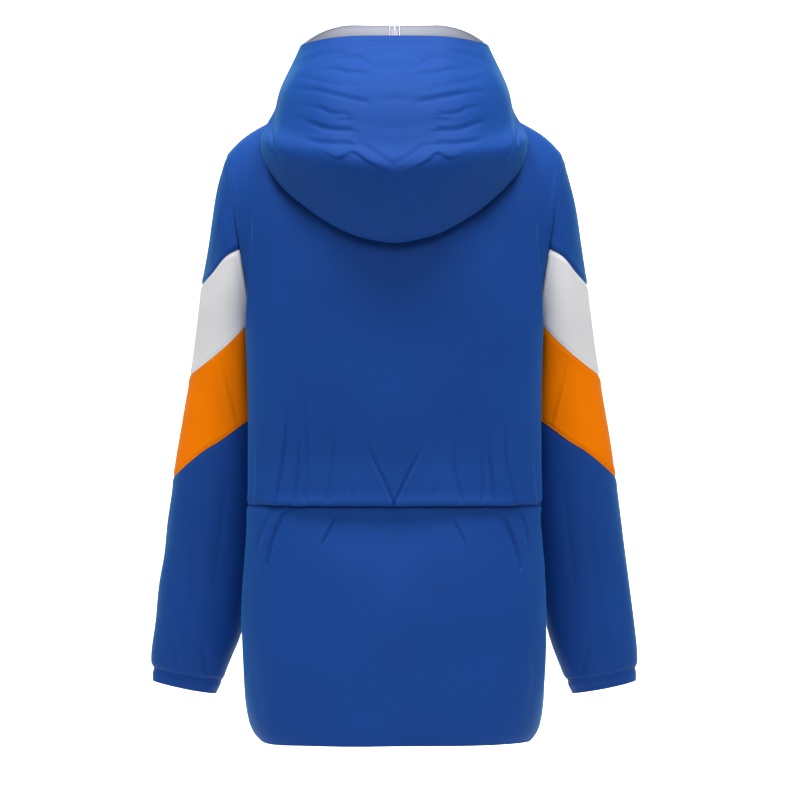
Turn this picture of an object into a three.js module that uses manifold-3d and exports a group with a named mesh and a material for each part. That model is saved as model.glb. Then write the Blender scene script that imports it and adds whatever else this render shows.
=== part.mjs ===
// A hip-length hooded windbreaker, worn-shaped and empty, with its hood lying back and its zip closed.
// Millimetres, +Z up. The garment faces -Y, so its back faces +Y. The origin lies between the shoulders.
import * as THREE from "three";
import loadManifold from "manifold-3d";

// Driving dimensions
const CLOTH = 1.5; // wall thickness of the cloth
const SEAM = 0.2; // each panel stops this far short of its seam line
const MITRE = 0.75; // panels that meet at a sharper angle than this cosine keep their own normals
const UNDERARM_Z = -255;
const WAIST_Z = -457;
const HEM_Z = -739;
const SIDE_SEAM_Y = -8;
const ZIP_HALF = 6; // from the centre front line to a front panel's edge
const BLOUSE = 4; // how far the upper body bags over the waist seam

// The zip: its strip, its slider at the top and the slider's pull tab
const ZIP = { half: 5.7, thick: 1.6, chainHalf: 2.5, chainRise: 1.1, slotHalf: 1.2, apart: 0.3 };
const ZIP_END = { chainZ: 119, tapeZ: 126.2 };
const SLIDER = { half: 4.2, height: 12, neck: 2.4, neckHalf: 0.8, clear: 0.4, outer: 1.6, inner: 1.4 };
const EAR = { half: 3.6, thick: 1 };
const PIN = { radius: 0.8, down: 5.5, out: 2.5 };
const PULL = { half: 2.2, radius: 2, bore: 0.9, length: 30, thick: 1.5 };

// The sleeve stripes' edges: heights on the outer line, then how far each edge has climbed at each sixth
// of the way from there to the inner line
const STRIPE_Z = { whiteTop: -196, orangeTop: -304, orangeEnd: -427 };
const STRIPE_CLIMB = [
  { whiteTop: 0, orangeTop: 0, orangeEnd: 0 },
  { whiteTop: 14, orangeTop: 11.3, orangeEnd: 17.5 },
  { whiteTop: 30.5, orangeTop: 22.7, orangeEnd: 32.5 },
  { whiteTop: 40, orangeTop: 34, orangeEnd: 43.5 },
  { whiteTop: 47, orangeTop: 45.3, orangeEnd: 56 },
  { whiteTop: 55, orangeTop: 56.7, orangeEnd: 67 },
  { whiteTop: 68, orangeTop: 68, orangeEnd: 74 },
];

// The body below the armholes: a row for each height
const BODY = [
  { z: -739, half: 163, back: 122, front: -124, tuck: 0 },
  { z: -731, half: 170, back: 124, front: -126, tuck: 0 },
  { z: -717, half: 175.5, back: 126, front: -128, tuck: 0 },
  { z: -690, half: 181, back: 128, front: -130, tuck: 2 },
  { z: -650, half: 185, back: 130, front: -131, tuck: 6 },
  { z: -600, half: 187, back: 130, front: -131, tuck: 13 },
  { z: -530, half: 186, back: 126, front: -128, tuck: 24 },
  { z: -457, half: 183, back: 119, front: -122, tuck: 29 },
  { z: -390, half: 182, back: 123, front: -126, tuck: 30 },
  { z: -330, half: 182, back: 127, front: -129, tuck: 29 },
  { z: -290, half: 183, back: 128, front: -129, tuck: 25 },
  { z: -255, half: 184, back: 128, front: -129, tuck: 17 },
];
const SQUARE = { back: 2.9, front: 2.4 }; // how square the section is behind and in front
// The arm presses the side in between these depths
const TUCK_Y = { backEnd: 62, backFull: 24, frontFull: -84, frontEnd: -124 };

// The top line of the body: the neckline and the shoulder seam
const NECK_BACK = { y: 68, z: 15 };
const NECK_FRONT = { y: -72, z: -60 };
const NECK_SIDE = { x: 80, y: 5, z: 35 };
const SHOULDER = { x: 202.5, y: -5, slope: 0.515, round: 14.9, roundFrom: 150 };
const ARMHOLE_DEPTH = 62; // half the armhole's size from front to back
const HANDLE = { nape: [0, 40, -45], throat: [0, -20, -40], over: 86, down: 95 };

// The sleeve: a row for each ring, from the armhole to the cuff's end
const SLEEVE = [
  { outX: 202.5, outZ: -43, inX: 167, inZ: -255, y: -5, deep: 62 },
  { outX: 215.5, outZ: -94, inX: 169, inZ: -262, y: -8, deep: 64 },
  { outX: 224.5, outZ: -150, inX: 169, inZ: -276, y: -13, deep: 65 },
  { outX: 233.5, outZ: -205, inX: 167, inZ: -300, y: -20, deep: 65 },
  { outX: 241, outZ: -262, inX: 164, inZ: -334, y: -28, deep: 64 },
  { outX: 250, outZ: -320, inX: 162, inZ: -374, y: -36, deep: 63 },
  { outX: 260, outZ: -375, inX: 162, inZ: -416, y: -43, deep: 62 },
  { outX: 269, outZ: -432, inX: 165, inZ: -462, y: -50, deep: 60 },
  { outX: 277, outZ: -490, inX: 169, inZ: -512, y: -56, deep: 57 },
  { outX: 285, outZ: -548, inX: 176, inZ: -566, y: -62, deep: 53 },
  { outX: 292, outZ: -605, inX: 187, inZ: -618, y: -67, deep: 49 },
  { outX: 296, outZ: -645, inX: 201, inZ: -656, y: -71, deep: 43 },
  { outX: 294, outZ: -660, inX: 210, inZ: -675, y: -73, deep: 39 },
  { outX: 295, outZ: -675, inX: 217, inZ: -691, y: -75, deep: 37 },
];
const CUFF_FROM = 12; // the row where the cuff's band starts

// The hood lying back: a row for each eighth of the way from centre back to centre front.
// Its cloth leaves the neckline, runs under to the bottom of the bag, turns out to the ridge and climbs
// to the rim. A row gives each level on that way as [x, y, z].
const HOOD_LEVELS = ["turn", "under", "bottom", "ridge", "shelf", "upper"];
const HOOD = [
  [[0, 85, 5], [0, 122, -92], [0, 136, -150], [0, 184, -76], [0, 171, -34], [0, 142, 28]],
  [[35, 84, 9], [54, 124, -84], [66, 132, -133], [74, 170, -62], [71, 156, -24], [66, 128, 34]],
  [[66, 69, 21], [105, 98, -52], [126, 98, -88], [138, 117, -43], [127, 105, -13], [117, 84, 38]],
  [[86, 36, 33], [133, 53, -12], [152, 60, -39], [157, 60, -21], [143, 50, -1], [134, 34, 38]],
  [[93, 5, 38], [121, 6, 27], [129, 8, 15], [135, 6, 18], [137, 2, 30], [131, -4, 50]],
  [[80, -26, 34], [103, -31, 28], [114, -33, 20], [119, -36, 26], [122, -39, 37], [119, -44, 60]],
  [[66, -58, -7], [80, -64, -6], [92, -70, -12], [97, -74, 4], [99, -77, 28], [97, -81, 72]],
  [[37, -74, -40], [41, -80, -38], [45, -86, -28], [49, -92, -6], [52, -98, 28], [53, -103, 78]],
  [[6, -76, -47], [6, -79, -38], [6, -84, -24], [6, -91, 0], [6, -99, 32], [6, -108, 80]],
].map((row) => Object.fromEntries(row.map((point, k) => [HOOD_LEVELS[k], point])));
const HOOD_ROWS = [1, 2, 2, 3, 3, 2, 3, 3]; // rows of cloth from each level to the next
const RIM = { half: 113, back: 84, front: -114, backZ: 96, sideZ: 91, frontZ: 126.5 };
const HOOD_STAND = 7; // the hood's cloth rises this far from the neckline before it turns over
const HOOD_LIFT = 0.6; // between the body's neck edge and the hood's
const HOOD_SEAM_TURN = 0.1; // where the crown panel meets the side panels, at this share of a half
const LINING_IN = { neck: 5.1, bag: 3.6 }; // the lining lies this far inside the hood's outside
const LINING_END = 0.985; // the share of each half at which the lining stops beside the zip
const LINING_TOP = 0.85; // the share of the hood's last row of cloth that the lining covers

// Folds of the cloth: a row for each, on the picture plane behind the garment, with its width and height
const BACK_FOLDS = [
  { x: -112, z: -330, x2: -104, z2: -400, x3: -107, z3: -452, wide: 8, high: 2.6 },
  { x: -134, z: -325, x2: -130, z2: -400, x3: -146, z3: -452, wide: 8, high: 3 },
  { x: -72, z: -410, x2: -74, z2: -435, x3: -80, z3: -452, wide: 7, high: 2 },
  { x: -36, z: -383, x2: -20, z2: -415, x3: -2, z3: -452, wide: 9, high: 2.6 },
  { x: 36, z: -383, x2: 20, z2: -415, x3: 2, z3: -452, wide: 9, high: 2.6 },
  { x: 70, z: -390, x2: 72, z2: -425, x3: 80, z3: -452, wide: 7, high: 2 },
  { x: 102, z: -380, x2: 104, z2: -420, x3: 106, z3: -452, wide: 7, high: 2.6 },
  { x: 131, z: -345, x2: 133, z2: -400, x3: 146, z3: -452, wide: 8, high: 3 },
];
const SKIRT_FOLDS = [
  { x: -146, z: -460, x2: -154, z2: -485, x3: -160, z3: -515, wide: 8, high: 2 },
  { x: -120, z: -460, x2: -136, z2: -500, x3: -146, z3: -560, wide: 11, high: 4 },
  { x: -66, z: -464, x2: -74, z2: -485, x3: -84, z3: -505, wide: 8, high: 2.4 },
  { x: 64, z: -464, x2: 74, z2: -485, x3: 84, z3: -505, wide: 8, high: 2.4 },
  { x: 120, z: -460, x2: 136, z2: -500, x3: 146, z3: -560, wide: 11, high: 4 },
  { x: 146, z: -460, x2: 152, z2: -485, x3: 160, z3: -515, wide: 8, high: 2 },
];
const HOOD_FOLDS = [
  { z: 72, middle: 0.5, out: 58, wide: 7, high: 3 },
  { z: 42, middle: 0.4, out: 60, wide: 8, high: 3 },
  { z: 8, middle: 0.3, out: 66, wide: 8, high: 3.4 },
  { z: -22, middle: 0.2, out: 70, wide: 8, high: 3.6 },
];

// Colours
const BLUE = 0x2b55a3;
const WHITE = 0xdedee2;
const ORANGE = 0xf27d05;
const LILAC_GREY = 0xb6bacb;
const PAINTED_METAL = 0xa8abbb;

const smooth = (from, to, value) => {
  const share = Math.min(1, Math.max(0, (value - from) / (to - from)));
  return share * share * (3 - 2 * share);
};
const mix = (a, b, share) => a + (b - a) * share;
const steps = (count) => Array.from({ length: count + 1 }, (_, i) => i / count);
const vector = (p) => new THREE.Vector3(...p);

// One named column of a table at a fractional row, on a smooth curve through the rows
function column(rows, key, at) {
  const last = rows.length - 1;
  const i = Math.min(last - 1, Math.max(0, Math.floor(at)));
  const value = (k) => {
    if (k < 0) return 2 * rows[0][key] - rows[1][key];
    if (k > last) return 2 * rows[last][key] - rows[last - 1][key];
    return rows[k][key];
  };
  return catmull(value(i - 1), value(i), value(i + 1), value(i + 2), at - i);
}

function catmull(a, b, c, d, t) {
  const t2 = t * t;
  const t3 = t2 * t;
  return 0.5 * (2 * b + (c - a) * t + (2 * a - 5 * b + 4 * c - d) * t2 + (3 * b - a - 3 * c + d) * t3);
}

// The fractional row of a table at which a rising column reaches a value
function rowAt(rows, key, value) {
  let i = 0;
  while (i < rows.length - 2 && rows[i + 1][key] < value) i += 1;
  let low = i;
  let high = i + 1;
  for (let n = 0; n < 30; n += 1) {
    const middle = (low + high) / 2;
    if (column(rows, key, middle) < value) low = middle;
    else high = middle;
  }
  return (low + high) / 2;
}

// Half of the body's section at a height, from the centre line to the side seam, evenly spaced by share
function sectionPoint(z, side, share) {
  const row = rowAt(BODY, "z", z);
  const half = column(BODY, "half", row);
  const depth = { back: column(BODY, "back", row), front: -column(BODY, "front", row) };
  const tuck = column(BODY, "tuck", row);
  const power = 2 / SQUARE[side];
  const place = (angle) => {
    const behind = Math.cos(angle) >= 0;
    const bend = behind ? 2 / SQUARE.back : 2 / SQUARE.front;
    const x = half * Math.abs(Math.sin(angle)) ** bend;
    const y = (behind ? depth.back : -depth.front) * Math.abs(Math.cos(angle)) ** bend;
    const pressed = smooth(TUCK_Y.backEnd, TUCK_Y.backFull, y) * smooth(TUCK_Y.frontEnd, TUCK_Y.frontFull, y);
    return [x - tuck * pressed, y];
  };
  const seam = Math.PI / 2 + Math.asin((-SIDE_SEAM_Y / depth.front) ** (SQUARE.front / 2));
  const zip = Math.PI - Math.asin((ZIP_HALF / half) ** (1 / power));
  const from = side === "back" ? 0 : zip;
  const points = steps(160).map((s) => place(mix(from, seam, s ** 1.5)));
  return alongLine(points, share);
}

// The point at a share of a line's length
function alongLine(points, share) {
  const lengths = [0];
  for (let i = 1; i < points.length; i += 1) {
    const gap = points[i].map((value, k) => value - points[i - 1][k]);
    lengths.push(lengths[i - 1] + Math.hypot(...gap));
  }
  const target = share * lengths[lengths.length - 1];
  let i = 1;
  while (i < points.length - 1 && lengths[i] < target) i += 1;
  const t = (target - lengths[i - 1]) / (lengths[i] - lengths[i - 1]);
  return points[i].map((value, k) => mix(points[i - 1][k], value, t));
}

// The neckline, from centre back (0) over the side (0.5) to the front zip (1)
function neckline(turn) {
  const behind = turn <= 0.5;
  const angle = behind ? turn * Math.PI : (1 - turn) * Math.PI;
  const start = behind ? 0 : Math.asin(ZIP_HALF / NECK_SIDE.x);
  const swing = mix(start, Math.PI / 2, angle / (Math.PI / 2));
  const end = behind ? NECK_BACK : NECK_FRONT;
  const drop = behind ? 1 - Math.cos(swing) : 1 - Math.cos(swing) ** 1.3;
  return [
    NECK_SIDE.x * Math.sin(swing),
    mix(NECK_SIDE.y, end.y, Math.cos(swing)),
    mix(end.z, NECK_SIDE.z, drop),
  ];
}

// The shoulder seam, from the neckline (0) to the shoulder point (1)
function shoulderSeam(share) {
  const x = mix(NECK_SIDE.x, SHOULDER.x, share);
  const round = Math.max(0, (x - SHOULDER.roundFrom) / (SHOULDER.x - SHOULDER.roundFrom)) ** 3.5;
  const z = NECK_SIDE.z - SHOULDER.slope * (x - NECK_SIDE.x) - SHOULDER.round * round;
  return [x, mix(NECK_SIDE.y, SHOULDER.y, share), z];
}

const NECK_SHARE = 0.42; // the share of a panel's top edge that is neckline
const NECK_COLUMNS = 5;
const SHOULDER_COLUMNS = 9;

function topPoint(side, share) {
  if (share > NECK_SHARE) return shoulderSeam((share - NECK_SHARE) / (1 - NECK_SHARE));
  const turn = share / NECK_SHARE / 2;
  return neckline(side === "back" ? turn : 1 - turn);
}

// A point of a body panel above the armhole's foot: columns run from the top edge down to the underarm level
function upperPoint(side, share, fall) {
  const sign = side === "back" ? 1 : -1;
  const top = topPoint(side, share);
  const [footX, footY] = sectionPoint(UNDERARM_Z, side, share);
  const centre = side === "back" ? HANDLE.nape : HANDLE.throat;
  const reach = (4 / 3) * ARMHOLE_DEPTH;
  const toSide = smooth(0, NECK_SHARE, share);
  const lean = smooth(0.55, 1, share);
  const over = mix(HANDLE.over, reach, smooth(NECK_SHARE, 1, share));
  const p1 = [top[0], top[1] + mix(centre[1], sign * over, toSide), top[2] + mix(centre[2], 0, toSide)];
  const p2 = [footX, footY + sign * reach * lean, UNDERARM_Z + HANDLE.down * (1 - lean)];
  const p3 = [footX, footY, UNDERARM_Z];
  const k = [(1 - fall) ** 3, 3 * fall * (1 - fall) ** 2, 3 * fall ** 2 * (1 - fall), fall ** 3];
  return [0, 1, 2].map((c) => k[0] * top[c] + k[1] * p1[c] + k[2] * p2[c] + k[3] * p3[c]);
}

// Distance from a point to a fold's bent line, and how far along it, on the picture plane
function nearFold(fold, x, z) {
  const ends = [
    [fold.x, fold.z],
    [fold.x2, fold.z2],
    [fold.x3, fold.z3],
  ];
  let best = { off: Infinity, along: 0 };
  for (let i = 0; i < 2; i += 1) {
    const [ax, az] = ends[i];
    const [bx, bz] = ends[i + 1];
    const length2 = (bx - ax) ** 2 + (bz - az) ** 2;
    const ahead = (x - ax) * (bx - ax) + (z - az) * (bz - az);
    const t = Math.min(1, Math.max(0, ahead / length2));
    const off = Math.hypot(x - ax - t * (bx - ax), z - az - t * (bz - az));
    if (off < best.off) best = { off, along: (i + t) / 2 };
  }
  return best;
}

function foldHeight(folds, x, z) {
  return folds.reduce((sum, fold) => {
    const { off, along } = nearFold(fold, x, z);
    return sum + fold.high * Math.exp(-((off / fold.wide) ** 2)) * (0.35 + 0.65 * along);
  }, 0);
}

// A point of the upper body; fall goes from the top edge (0) over the armhole's foot (1) to the waist (2)
function bodyUpper(side, sign, share, fall) {
  const z = mix(UNDERARM_Z, WAIST_Z, fall - 1);
  const [x, y] = fall > 1 ? sectionPoint(z, side, share) : [];
  const p = fall > 1 ? [x, y, z] : upperPoint(side, share, fall);
  const bag = BLOUSE * smooth(WAIST_Z + 60, WAIST_Z + 12, p[2]) * (1 - smooth(0.7, 0.9, share));
  const fold = side === "back" ? foldHeight(BACK_FOLDS, sign * p[0], p[2]) : 0;
  const outward = side === "back" ? 1 : -1;
  return [sign * p[0], p[1] + outward * (bag + fold), p[2]];
}

function bodyLower(side, sign, share, fall) {
  const z = mix(WAIST_Z, HEM_Z, fall);
  const [x, y] = sectionPoint(z, side, share);
  const fold = side === "back" ? foldHeight(SKIRT_FOLDS, sign * x, z) : 0;
  return [sign * x, y + fold, z];
}

// A point of the sleeve; turn is 0 on the outer line, 0.5 on the inner line, rising behind the arm
function sleevePoint(sign, turn, row) {
  const behind = turn <= 0.5;
  const t = behind ? 2 * turn : 2 * (1 - turn);
  const across = t * t * (3 - 2 * t);
  const bulge = 4 * t * (1 - t) * (behind ? 1 : -1);
  const ring = (at) => [
    mix(column(SLEEVE, "outX", at), column(SLEEVE, "inX", at), across),
    column(SLEEVE, "y", at) + bulge * column(SLEEVE, "deep", at),
    mix(column(SLEEVE, "outZ", at), column(SLEEVE, "inZ", at), across),
  ];
  const p = ring(row);
  // The first ring is the armhole's own edge, and the next rows leave it smoothly
  const edge = upperPoint(behind ? "back" : "front", 1, t);
  const first = ring(0);
  const near = Math.max(0, 1 - row) ** 2;
  const [x, y, z] = p.map((value, k) => value + near * (edge[k] - first[k]));
  return [sign * x, y, z];
}

// The row of the sleeve where a stripe's edge crosses the line at a turn, or 0 where the armhole comes first
function stripeRow(turn, edge) {
  const t = turn <= 0.5 ? 2 * turn : 2 * (1 - turn);
  const across = t * t * (3 - 2 * t);
  const z = STRIPE_Z[edge] + column(STRIPE_CLIMB, edge, across * (STRIPE_CLIMB.length - 1));
  let low = 0;
  let high = SLEEVE.length - 1;
  if (sleevePoint(1, turn, 0)[2] < z) return 0;
  for (let n = 0; n < 40; n += 1) {
    const middle = (low + high) / 2;
    if (sleevePoint(1, turn, middle)[2] > z) low = middle;
    else high = middle;
  }
  return (low + high) / 2;
}

// The share of a half turn at which a stripe's edge meets the armhole
function stripeMeets(edge) {
  let low = 0;
  let high = 1;
  for (let n = 0; n < 40; n += 1) {
    const middle = (low + high) / 2;
    if (stripeRow(middle / 2, edge) > 0) low = middle;
    else high = middle;
  }
  return low;
}

const WHITE_MEETS = stripeMeets("whiteTop");
const ORANGE_MEETS = stripeMeets("orangeTop");

// The heights of the body's rows and the sleeve's columns along the armhole are the same list
const TIP = 0.02; // a stripe's or top's pointed end stops this far before it would come to nothing
const ARM_STEPS = [
  ...steps(4).map((s) => s * (WHITE_MEETS - TIP)),
  ...steps(3).map((s) => mix(WHITE_MEETS, ORANGE_MEETS - TIP, s)),
  ...steps(3).map((s) => mix(ORANGE_MEETS, 1, s)),
];

// The neckline as the body's neck edge has it, in straight steps, so that the hood's edge follows it
function neckEdge(turn) {
  const stepsRound = 2 * NECK_COLUMNS;
  const i = Math.min(stepsRound - 1, Math.floor(turn * stepsRound + 1e-9));
  const share = turn * stepsRound - i;
  const next = neckline((i + 1) / stepsRound);
  return neckline(i / stepsRound).map((value, k) => mix(value, next[k], share));
}

// The hood's outside; half is 0 at centre back and 1 at the zip, rise is 0 at the neckline and 1 at the rim
function hoodPoint(sign, half, rise) {
  const row = half * (HOOD.length - 1);
  const neck = neckEdge(half);
  const angle = half * Math.PI;
  const behind = Math.cos(angle) > 0;
  const wide = RIM.half * Math.abs(Math.sin(angle)) ** 0.85;
  const rimX = behind ? wide : Math.max(ZIP_HALF, wide);
  const rimY = (behind ? RIM.back : RIM.front) * Math.abs(Math.cos(angle)) ** 0.85;
  const dip = mix(RIM.backZ, RIM.sideZ, smooth(0.1, 0.4, half));
  const rimZ = mix(dip, RIM.frontZ, smooth(0.46, 0.88, half));
  const levels = [
    [neck[0], neck[1], neck[2] + HOOD_LIFT],
    [neck[0] * 1.01, neck[1] * 1.01, neck[2] + HOOD_STAND],
    ...HOOD_LEVELS.map((key) => tablePoint(HOOD, key, row)),
    [rimX, rimY, rimZ],
  ];
  const at = rise * (levels.length - 1);
  const i = Math.min(levels.length - 2, Math.floor(at));
  const pick = (k) => levels[Math.min(levels.length - 1, Math.max(0, k))];
  const [a, b, c, d] = [i - 1, i, i + 1, i + 2].map(pick);
  const p = [0, 1, 2].map((k) => catmull(a[k], b[k], c[k], d[k], at - i));
  return [sign * p[0], p[1], p[2]];
}

function tablePoint(rows, key, at) {
  const last = rows.length - 1;
  const i = Math.min(last - 1, Math.floor(at));
  const pick = (k, c) => {
    if (k < 0) return (c === 0 ? -1 : 1) * rows[-k][key][c]; // the other half mirrors this one
    return rows[Math.min(last, k)][key][c];
  };
  return [0, 1, 2].map((c) =>
    catmull(pick(i - 1, c), pick(i, c), pick(i + 1, c), pick(i + 2, c), at - i),
  );
}

// The hood with its cross folds, which are strongest to each side of the crown
function hoodFolded(turn, rise) {
  const sign = Math.sign(turn) || 1;
  const half = Math.abs(turn);
  const p = hoodPoint(sign, half, rise);
  const outside = smooth(0.6, 0.72, rise) * smooth(1, 0.96, rise) * smooth(0.36, 0.2, half);
  const lift = HOOD_FOLDS.reduce((sum, fold) => {
    const off = (p[2] - fold.z - 0.0012 * p[0] ** 2) / fold.wide;
    const across = fold.middle + (1 - fold.middle) * Math.exp(-(((Math.abs(p[0]) - fold.out) / 30) ** 2));
    return sum + fold.high * across * Math.exp(-off * off);
  }, 0);
  return [p[0], p[1] + outside * lift, p[2]];
}

// The zip's line up the centre front on the fronts' outer face, from the hem to the slider
function zipLine() {
  const body = steps(12).map((s) => {
    const z = mix(HEM_Z, UNDERARM_Z, s);
    return [sectionPoint(z, "front", 0)[1], z];
  });
  const chest = steps(6).slice(1).map((s) => upperPoint("front", 0, 1 - s).slice(1));
  const collar = steps(10).slice(1).map((s) => hoodPoint(1, 1, s).slice(1));
  return [...body, ...chest, ...collar].filter((p) => p[1] < ZIP_END.chainZ - 2);
}

// The outward normal of a surface function at a point of its two ways across
function normalOf(surface, a, b, step = 1e-3) {
  const da = vector(surface(a + step, b)).sub(vector(surface(a - step, b)));
  const db = vector(surface(a, b + step)).sub(vector(surface(a, b - step)));
  return db.cross(da).normalize();
}

// A panel's grid of points, cut back from its seam lines; closed panels join their first and last column
class Panel {
  constructor(name, colour, grid, options = {}) {
    this.name = name;
    this.colour = colour;
    this.closed = Boolean(options.closed);
    this.thick = options.thick ?? CLOTH;
    this.points = grid.map((row) => row.map(vector));
    this.flip = Boolean(options.flip);
  }

  // Each point's share of the faces round it
  faces() {
    const found = [];
    const rows = this.points.length;
    const columns = this.points[0].length;
    const wide = this.closed ? columns : columns - 1;
    for (let i = 0; i < rows - 1; i += 1) {
      for (let j = 0; j < wide; j += 1) {
        const k = (j + 1) % columns;
        const way = this.flip ? [i, j, i, k, i + 1, k, i + 1, j] : [i, j, i + 1, j, i + 1, k, i, k];
        found.push(way);
      }
    }
    return found;
  }
}

const keyOf = (p) => [p.x, p.y, p.z].map((value) => Math.round(value * 50)).join();

// Normals shared by all the panels that meet at a point, so that their walls meet too
function normalsOf(panels) {
  const sums = new Map();
  for (const panel of panels) {
    for (const f of panel.faces()) {
      const corner = [0, 2, 4, 6].map((k) => panel.points[f[k]][f[k + 1]]);
      const across = corner[2].clone().sub(corner[0]);
      const normal = across.cross(corner[3].clone().sub(corner[1]));
      for (const p of corner) {
        const key = keyOf(p);
        if (!sums.has(key)) sums.set(key, new THREE.Vector3());
        sums.get(key).add(normal);
      }
    }
  }
  for (const sum of sums.values()) sum.normalize();
  return sums;
}

// A closed wall: the panel's outside, its inside and the edges between them
function wallOf(panel, normals) {
  const rows = panel.points.length;
  const columns = panel.points[0].length;
  const shifted = panel.points.map((row, i) =>
    row.map((p, j) => {
      const moved = p.clone();
      const towards = (q) => moved.addScaledVector(q.clone().sub(p).normalize(), SEAM);
      if (i === 0) towards(panel.points[1][j]);
      if (i === rows - 1) towards(panel.points[rows - 2][j]);
      if (!panel.closed && j === 0) towards(row[1]);
      if (!panel.closed && j === columns - 1) towards(row[columns - 2]);
      return moved;
    }),
  );
  const position = [];
  const inner = rows * columns;
  for (const row of shifted) for (const p of row) position.push(p.x, p.y, p.z);
  shifted.forEach((row, i) =>
    row.forEach((p, j) => {
      const q = p.clone().addScaledVector(normals.get(keyOf(panel.points[i][j])), -panel.thick);
      position.push(q.x, q.y, q.z);
    }),
  );
  const index = [];
  const quad = (a, b, c, d) => index.push(a, b, c, a, c, d);
  const at = (i, j) => i * columns + j;
  for (const f of panel.faces()) {
    const [a, b, c, d] = [at(f[0], f[1]), at(f[2], f[3]), at(f[4], f[5]), at(f[6], f[7])];
    quad(a, b, c, d);
    quad(d + inner, c + inner, b + inner, a + inner);
  }
  const rim = (a, b) => {
    if (panel.flip) quad(a, b, b + inner, a + inner);
    else quad(b, a, a + inner, b + inner);
  };
  const wide = panel.closed ? columns : columns - 1;
  for (let j = 0; j < wide; j += 1) {
    const k = (j + 1) % columns;
    rim(at(0, k), at(0, j));
    rim(at(rows - 1, j), at(rows - 1, k));
  }
  if (!panel.closed) {
    for (let i = 0; i < rows - 1; i += 1) {
      rim(at(i, 0), at(i + 1, 0));
      rim(at(i + 1, columns - 1), at(i, columns - 1));
    }
  }
  const geometry = new THREE.BufferGeometry();
  geometry.setAttribute("position", new THREE.Float32BufferAttribute(position, 3));
  geometry.setIndex(index);
  geometry.computeVertexNormals();
  return geometry;
}

const jacket = new THREE.Group();

function addMesh(name, geometry, colour, metalness = 0, roughness = 0.6) {
  const material = new THREE.MeshStandardMaterial({ color: colour, roughness, metalness });
  const mesh = new THREE.Mesh(geometry, material);
  mesh.name = name;
  jacket.add(mesh);
  return mesh;
}

// Body panels
const UPPER_FALLS = [...ARM_STEPS, ...steps(7).slice(1).map((s) => 1 + s)];
const LOWER_FALLS = steps(8);
const HALF_SHARES = [
  ...steps(NECK_COLUMNS).map((s) => s * NECK_SHARE),
  ...steps(SHOULDER_COLUMNS).slice(1).map((s) => mix(NECK_SHARE, 1, s)),
];
const BACK_SHARES = [...HALF_SHARES.slice(1).reverse().map((s) => -s), ...HALF_SHARES];

function bodyPanels() {
  const backGrid = (falls, point) =>
    falls.map((fall) => BACK_SHARES.map((s) => point("back", Math.sign(s) || 1, Math.abs(s), fall)));
  const frontGrid = (sign, falls, point) =>
    falls.map((fall) => HALF_SHARES.map((s) => point("front", sign, s, fall)));
  return [
    new Panel("back_upper", BLUE, backGrid(UPPER_FALLS, bodyUpper), { flip: true }),
    new Panel("back_lower", BLUE, backGrid(LOWER_FALLS, bodyLower), { flip: true }),
    ...[1, -1].flatMap((sign) => {
      const hand = sign > 0 ? "left" : "right";
      const flip = sign < 0;
      return [
        new Panel(`front_upper_${hand}`, BLUE, frontGrid(sign, UPPER_FALLS, bodyUpper), { flip }),
        new Panel(`front_lower_${hand}`, BLUE, frontGrid(sign, LOWER_FALLS, bodyLower), { flip }),
      ];
    }),
  ];
}

// Sleeve panels
function sleevePanels(sign) {
  const hand = sign > 0 ? "left" : "right";
  const flip = sign < 0;
  const before = ARM_STEPS.slice(1, -1).reverse();
  const turns = [...ARM_STEPS.map((t) => t / 2), ...before.map((t) => 1 - t / 2)];
  const band = (list, from, to, count) =>
    steps(count).map((s) =>
      list.map((turn) => {
        const at = (turn + 1) % 1;
        return sleevePoint(sign, at, mix(from(at), to(at), s));
      }),
    );
  const armhole = () => 0;
  const white = (turn) => stripeRow(turn, "whiteTop");
  const orange = (turn) => stripeRow(turn, "orangeTop");
  const lower = (turn) => stripeRow(turn, "orangeEnd");
  const cuff = () => CUFF_FROM;
  const end = () => SLEEVE.length - 1;
  const reach = (meets) => {
    const kept = ARM_STEPS.filter((t) => t < meets - 1e-6);
    return [...kept.slice(1).reverse().map((t) => -t / 2), ...kept.map((t) => t / 2)];
  };
  return [
    new Panel(`sleeve_top_${hand}`, BLUE, band(reach(WHITE_MEETS), armhole, white, 4), { flip }),
    new Panel(`sleeve_white_${hand}`, WHITE, band(reach(ORANGE_MEETS), white, orange, 3), { flip }),
    new Panel(`sleeve_orange_${hand}`, ORANGE, band(turns, orange, lower, 4), { closed: true, flip }),
    new Panel(`sleeve_lower_${hand}`, BLUE, band(turns, lower, cuff, 7), { closed: true, flip }),
    new Panel(`cuff_${hand}`, BLUE, band(turns, cuff, end, 1), { closed: true, flip }),
  ];
}

// Hood panels and lining
const HOOD_RISES = HOOD_ROWS.flatMap((count, level) =>
  steps(count).slice(level ? 1 : 0).map((s) => (level + s) / HOOD_ROWS.length),
);

function hoodPanels() {
  const crown = steps(4).map((s) => mix(-HOOD_SEAM_TURN, HOOD_SEAM_TURN, s));
  const half = steps(18).map((s) => mix(HOOD_SEAM_TURN, 1, s));
  const rises = HOOD_RISES;
  const grid = (turns) => rises.map((rise) => turns.map((turn) => hoodFolded(turn, rise)));
  return [
    new Panel("hood_crown", BLUE, grid(crown), { flip: false }),
    new Panel("hood_side_left", BLUE, grid(half), { flip: false }),
    new Panel("hood_side_right", BLUE, grid([...half].reverse().map((t) => -t)), { flip: false }),
  ];
}

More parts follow.
